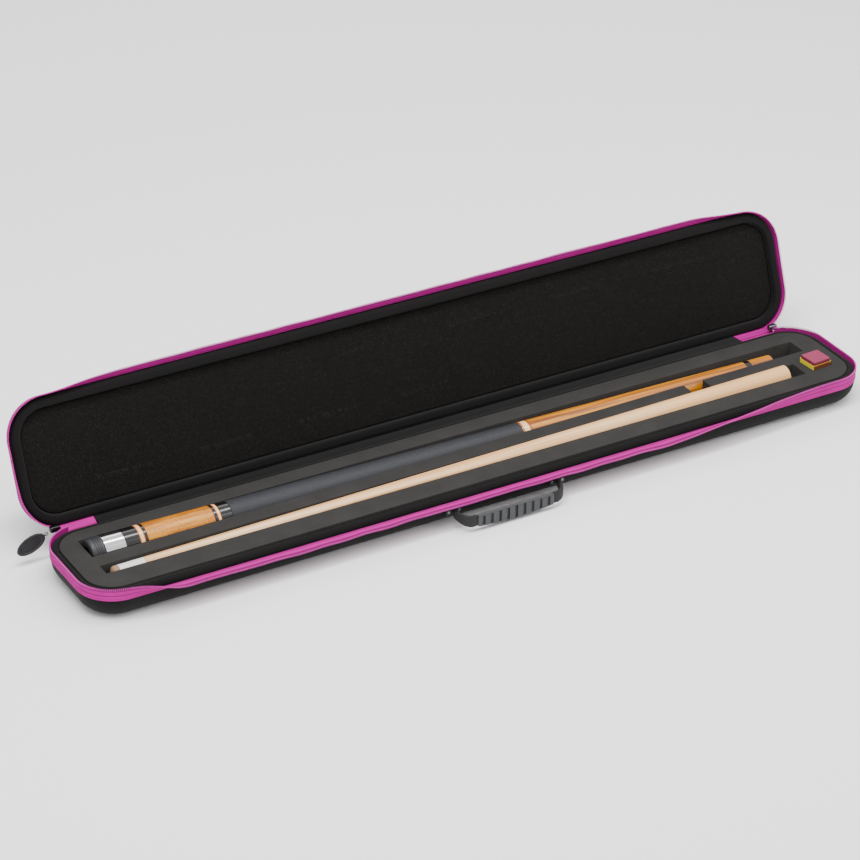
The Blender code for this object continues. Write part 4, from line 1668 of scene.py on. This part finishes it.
def eased(ends: np.ndarray, ease: float, count: int = 3) -> np.ndarray:
    """Profile of a plain turned piece with rounded corners at both ends.

    Args:
        ends: (2, 2) distances and radii of the ends.
        ease: Radius of the corners.
        count: Points on each corner.

    Returns:
        (n, 2) profile.
    """
    (start, first), (end, last) = ends
    t = np.linspace(0, math.pi / 2, count + 1)
    near = np.stack([start + ease * (1 - np.sin(t)), first - ease * (1 - np.cos(t))], 1)[::-1]
    far = np.stack([end - ease * (1 - np.sin(t)), last - ease * (1 - np.cos(t))], 1)
    hold = np.array([1.3, 2.2]) * ease
    middle = np.concatenate([start + hold, end - hold[::-1]])
    straight = np.stack([middle, np.interp(middle, [start, end], [first, last])], 1)
    return np.vstack([near, straight, far])


@dataclass
class Butt:
    """Turned butt of the cue, from the bumper to the joint pin."""

    finishes: dict[str, bpy.types.Material]

    PIECES = (
        ("butt_cap", "chrome", "polished_metal"),
        ("cap_collar", "gloss_black", "gloss_black"),
        ("sleeve_rear_trim", "gloss_black", "gloss_black"),
        ("butt_sleeve", "sleeve_wood", "striped_wood"),
        ("sleeve_front_trim", "gloss_black", "gloss_black"),
        ("wrap_collar", "gloss_black", "gloss_black"),
        ("grip_wrap", "wrap_linen", "wrap_cloth"),
        ("forearm", "forearm_wood", "amber_wood"),
        ("joint_collar", "gloss_black", "gloss_black"),
        ("joint_end", "forearm_wood", "amber_wood"),
    )
    RINGS = ("sleeve_rear_ring", "sleeve_front_ring", "forearm_ring")

    def plain(self, axis: CueAxis) -> None:
        """Pieces that are a straight taper with eased ends."""
        for node, finish, slot in self.PIECES:
            piece = axis.turn(eased(axis.stations(node), 0.00016), "cue_" + node)
            dress(piece, self.finishes[finish], "butt", slot, node)

    def ring(self, axis: CueAxis, node: str) -> None:
        """Inlaid ring: a cream middle between two thin orange edges, each its own face band.

        Args:
            axis: The butt's axis.
            node: The ring's node.
        """
        ends = axis.stations(node)
        shares = np.array([0, 0.02, 0.2, 0.21, 0.79, 0.8, 0.98, 1])
        cuts = ends[0, 0] + (ends[1, 0] - ends[0, 0]) * shares
        radii = np.interp(cuts, ends[:, 0], ends[:, 1])
        radii[[0, -1]] -= 0.00012
        piece = axis.turn(np.stack([cuts, radii], 1), "cue_" + node)
        piece.data.materials.append(self.finishes["cream"])
        piece.data.materials.append(self.finishes["ring_orange"])
        centres = np.empty(len(piece.data.polygons) * 3, np.float32)
        piece.data.polygons.foreach_get("center", centres)
        along = (centres.reshape(-1, 3) - axis.origin) @ axis.ahead
        edge = (along < cuts[2]) | (along > cuts[5])
        piece.data.polygons.foreach_set("material_index", edge.astype(np.int32))
        dress(piece, self.finishes["cream"], "butt", "cream", node)

    def bumper(self, axis: CueAxis) -> None:
        """Rubber bumper: rounded face, deep recess and three shallow grooves."""
        (start, _), (end, radius) = axis.stations("bumper")
        recess, depth = 0.0068, 0.0075
        knots = [(start + depth, 0.0010), (start + depth, recess - 0.0004),
                 (start + depth - 0.0006, recess), (start + 0.0006, recess),
                 (start + 0.0001, recess + 0.0005), (start, recess + 0.0012),
                 (start, radius - 0.0024)]
        t = np.linspace(0, math.pi / 2, 7)[1:]
        face = np.stack([start + 0.0022 * (1 - np.cos(t)), radius - 0.0024 + 0.0022 * np.sin(t)], 1)
        wall = np.linspace(start + 0.0026, end - 0.0002, 90)
        groove = np.zeros_like(wall)
        for at in (0.0052, 0.0074, 0.0096):
            groove += np.exp(-(((wall - start - at) / 0.00035) ** 2))
        side = np.stack([wall, radius - 0.0001 - 0.0004 * groove], 1)
        piece = axis.turn(np.vstack([knots, face, side]), "cue_bumper", 60)
        dress(piece, self.finishes["bumper_rubber"], "butt", "bumper_rubber", "bumper")

    def pin(self, axis: CueAxis) -> None:
        """Joint pin with a thread: the radius is a wave of the distance plus the turn.

        The grid's radius is r - d*(1 + cos(2 pi (along/pitch) - turn))/2, so that the crest
        climbs one pitch each turn.
        """
        (start, radius), (end, _) = axis.stations("joint_pin")
        along = np.linspace(start, end, 150)[:, None]
        turns = np.linspace(0, math.tau, 48, endpoint=False)[None]
        fade = smooth(along, start + 0.002, start + 0.004) * smooth(along, end, end - 0.003)
        wave = (1 + np.cos(math.tau * along / 0.0018 - turns)) / 2
        r = radius - 0.0006 * wave * fade - 0.0012 * smooth(along, end - 0.0015, end)
        side = np.array([0.0, 1.0, 0.0])
        top = np.cross(axis.ahead, side)
        grid = axis.origin + along[..., None] * axis.ahead
        ring = np.cos(turns)[..., None] * side + np.sin(turns)[..., None] * top
        grid = grid + r[..., None] * ring
        piece = Surface(grid, caps=True).build("cue_joint_pin")
        turn_out(piece, 50)
        dress(piece, self.finishes["brass"], "butt", "brass", "joint_pin")

    def build(self) -> None:
        """Build and dress the butt."""
        axis = CueAxis.through("grip_wrap", "joint_end")
        self.plain(axis)
        for node in self.RINGS:
            self.ring(axis, node)
        self.bumper(axis)
        self.pin(axis)


@dataclass
class Shaft:
    """Turned shaft of the cue, from the leather tip to the threaded insert."""

    finishes: dict[str, bpy.types.Material]

    def build(self) -> None:
        """Build and dress the shaft."""
        axis = CueAxis.through("shaft_wood", "shaft_wood")
        (start, _), (end, radius) = axis.stations("cue_tip")
        t = np.linspace(0.05, math.pi / 2, 12)
        dome = np.stack([start + 0.0034 * (1 - np.cos(t)), radius * np.sin(t)], 1)
        side = [(end - 0.0012, radius * 1.012), (end - 0.0001, radius)]
        tip = axis.turn(np.vstack([dome, side]), "cue_leather_tip", 60)
        dress(tip, self.finishes["leather_tip"], "shaft", "leather", "cue_tip")
        ferrule = axis.turn(eased(axis.stations("ferrule"), 0.00012), "cue_ferrule")
        dress(ferrule, self.finishes["ferrule_white"], "shaft", "white_plastic", "ferrule")
        (first, small), (last, large) = axis.stations("shaft_wood")
        bore, depth = 0.0053, 0.0140
        wood = np.array([(first, small - 0.0001), (first + 0.0003, small), (last - 0.0003, large),
                         (last, large - 0.0003), (last, bore), (last - depth, bore)])
        piece = axis.turn(wood, "cue_shaft_wood")
        dress(piece, self.finishes["shaft_wood"], "shaft", "pale_maple", "shaft_wood")
        (deep, _), (mouth, outer) = axis.stations("shaft_insert")
        sleeve = np.array([(deep + 0.002, 0.0038), (mouth - 0.0003, 0.0038), (mouth, 0.0041),
                           (mouth, outer), (deep, outer)])
        piece = axis.turn(sleeve, "cue_insert")
        dress(piece, self.finishes["brass"], "shaft", "brass", "shaft_insert")


# ---------------------------------------------------------------- chalk


@dataclass
class Chalk:
    """Chalk cube with a worn, dished top, and the paper round its sides."""

    finishes: dict[str, bpy.types.Material]
    turn: float = math.radians(4)
    half: float = 0.0105
    dish: float = 0.0011

    def square(self, half: float, ease: float, count: int) -> np.ndarray:
        """Rounded square about the origin as (n, 2) points, anticlockwise."""
        t = np.linspace(0, math.tau, count, endpoint=False)
        return np.stack(box_section(t, 2 / (2 + half / ease)), 1) * half

    def settle(self, flat: np.ndarray) -> np.ndarray:
        """Turn and move plan points to where the chalk lies."""
        low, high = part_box("chalk_cube")
        c, s = math.cos(self.turn), math.sin(self.turn)
        turned = flat @ np.array([[c, s], [-s, c]])
        return turned + np.array([(low.x + high.x) / 2, (low.y + high.y) / 2])

    def cube(self) -> bpy.types.Object:
        """Cube: rounded squares up the sides, then shrinking over the dished top.

        The top at share r of the half width lies lower by the dish times 1 - r^2.

        Returns:
            The piece.
        """
        low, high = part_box("chalk_cube")
        base = self.square(self.half, 0.0009, 120)
        rows = [(1.0, low.z), (1.0, low.z + 0.004), (1.0, high.z - 0.006)]
        rows += [(1.0, high.z - 0.0012), (0.975, high.z - 0.0003), (0.93, high.z)]
        shares = np.linspace(0.86, 0.03, 16)
        worn = high.z - self.dish * (1 - shares**2) * smooth(shares, 0.95, 0.7)
        rows += list(zip(shares, worn))
        grid = np.empty((len(rows), len(base), 3))
        for row, (share, z) in enumerate(rows):
            grid[row, :, :2] = self.settle(base * share)
            grid[row, :, 2] = z
        piece = Surface(grid, caps=True).build("chalk_block", uv=False)
        turn_out(piece, 50)
        return dress(piece, self.finishes["chalk"], "chalk", "chalk_pink", "chalk_cube")

    def paper(self) -> bpy.types.Object:
        """Paper: a closed wall round the cube, yellow on its ends and brown on its sides.

        Returns:
            The piece.
        """
        low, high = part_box("chalk_label")
        rows = []
        for half, z in ((0.0003, low.z), (0.0007, low.z), (0.0007, high.z), (0.0003, high.z)):
            flat = self.settle(self.square(self.half + half, 0.0007, 160))
            rows.append(np.column_stack([flat, np.full(len(flat), z)]))
        piece = Surface(np.stack(rows, 1), loop_rows=True).build("chalk_paper", uv=False)
        turn_out(piece, 50)
        piece.data.materials.append(self.finishes["label_yellow"])
        piece.data.materials.append(self.finishes["label_brown"])
        normals = np.empty(len(piece.data.polygons) * 3, np.float32)
        piece.data.polygons.foreach_get("normal", normals)
        normals = np.abs(normals.reshape(-1, 3))
        brown = normals[:, 1] > normals[:, 0]
        piece.data.polygons.foreach_set("material_index", brown.astype(np.int32))
        return dress(piece, self.finishes["label_yellow"], "chalk", "label_paper", "chalk_label")

    def build(self) -> None:
        """Build and dress the chalk."""
        self.cube()
        self.paper()


# ---------------------------------------------------------------- stage


@dataclass
class Studio:
    """Pale floor, soft lights and the camera."""

    lens: float = 3380.4 / 860 * 36
    place: tuple[float, float, float] = (-1.4126, -2.3703, 1.6410)
    azimuth: float = -29.98
    elevation: float = 29.90
    roll: float = 0.30

    def camera(self) -> None:
        """Camera on the handle side, to the left of the case, looking down at it."""
        data = bpy.data.cameras.new("studio_camera")
        data.sensor_width = 36
        data.lens = self.lens
        data.clip_start, data.clip_end = 0.05, 50
        camera = bpy.data.objects.new("studio_camera", data)
        turn = Matrix.Rotation(math.radians(self.azimuth), 3, "Z")
        turn @= Matrix.Rotation(math.radians(90 - self.elevation), 3, "X")
        turn @= Matrix.Rotation(math.radians(self.roll), 3, "Z")
        camera.rotation_euler = turn.to_euler()
        camera.location = self.place
        bpy.context.scene.collection.objects.link(camera)
        bpy.context.scene.camera = camera

    def light(self, name: str, place: tuple, size: tuple, energy: float) -> None:
        """Rectangular soft light aimed at the case."""
        data = bpy.data.lights.new(name, "AREA")
        data.shape = "RECTANGLE"
        data.size, data.size_y = size
        data.energy = energy
        lamp = bpy.data.objects.new(name, data)
        lamp.location = place
        aim = -lamp.location
        lamp.rotation_euler = aim.to_track_quat("-Z", "Y").to_euler()
        bpy.context.scene.collection.objects.link(lamp)

    def floor(self) -> None:
        """Wide pale floor just under the case."""
        half = 6.0
        points = np.array([(-half, -half, 0), (half, -half, 0), (half, half, 0), (-half, half, 0)])
        points[:, 2] = -0.0004
        mesh = mesh_from("studio_floor", points, np.arange(4), np.array([4]))
        floor = link("studio_floor", mesh)
        w = Weaver("studio_floor")
        floor.data.materials.append(w.finish(Base_Color=(0.93, 0.93, 0.93, 1), Roughness=0.9))

    def build(self) -> None:
        """Set up the whole stage."""
        self.camera()
        self.floor()
        world = bpy.data.worlds.new("studio_air")
        world.use_nodes = True
        air = world.node_tree.nodes["Background"]
        air.inputs[0].default_value = (1, 1, 1, 1)
        air.inputs[1].default_value = 1.0
        bpy.context.scene.world = world
        self.light("key_light", (-0.6, -0.7, 2.2), (1.4, 1.2), 40)
        self.light("fill_light", (1.6, -1.4, 1.5), (1.6, 1.6), 18)
        self.light("back_light", (0.3, 1.8, 1.6), (1.4, 1.4), 12)
        self.light("strip_light", (0.0, -0.1, 1.5), (2.2, 0.22), 22)


def main() -> None:
    """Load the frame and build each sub-assembly in order."""
    logging.basicConfig(level=logging.INFO, format="%(message)s")
    for obj in list(bpy.data.objects):
        bpy.data.objects.remove(obj, do_unlink=True)
    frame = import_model()
    low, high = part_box("tray_shell")
    plan = Plan(high.x - low.x, high.y - low.y)
    joint = next(j for j in frame["joints"] if j["name"] == "lid_hinge")
    hinge = np.array(joint["pos_m"])
    angle = math.radians(-joint["range_deg"][0])
    tray = CaseHalf(Half.TRAY, plan, hinge, angle, 0.0, (0.0180, 0.0205))
    lid = CaseHalf(Half.LID, plan, hinge, angle, 0.0125, (0.0140, 0.0105))
    label_low, label_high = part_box("chalk_label")
    band = label_low.z + 0.62 * (label_high.z - label_low.z)
    finishes = palette(band)
    Studio().build()
    Casing(tray, lid, finishes).build(frame["nodes"])
    Zip(tray, lid, finishes).build()
    Handle(finishes).build(frame["nodes"])
    Butt(finishes).build()
    Shaft(finishes).build()
    Chalk(finishes).build()


if __name__ == "__main__":
    main()
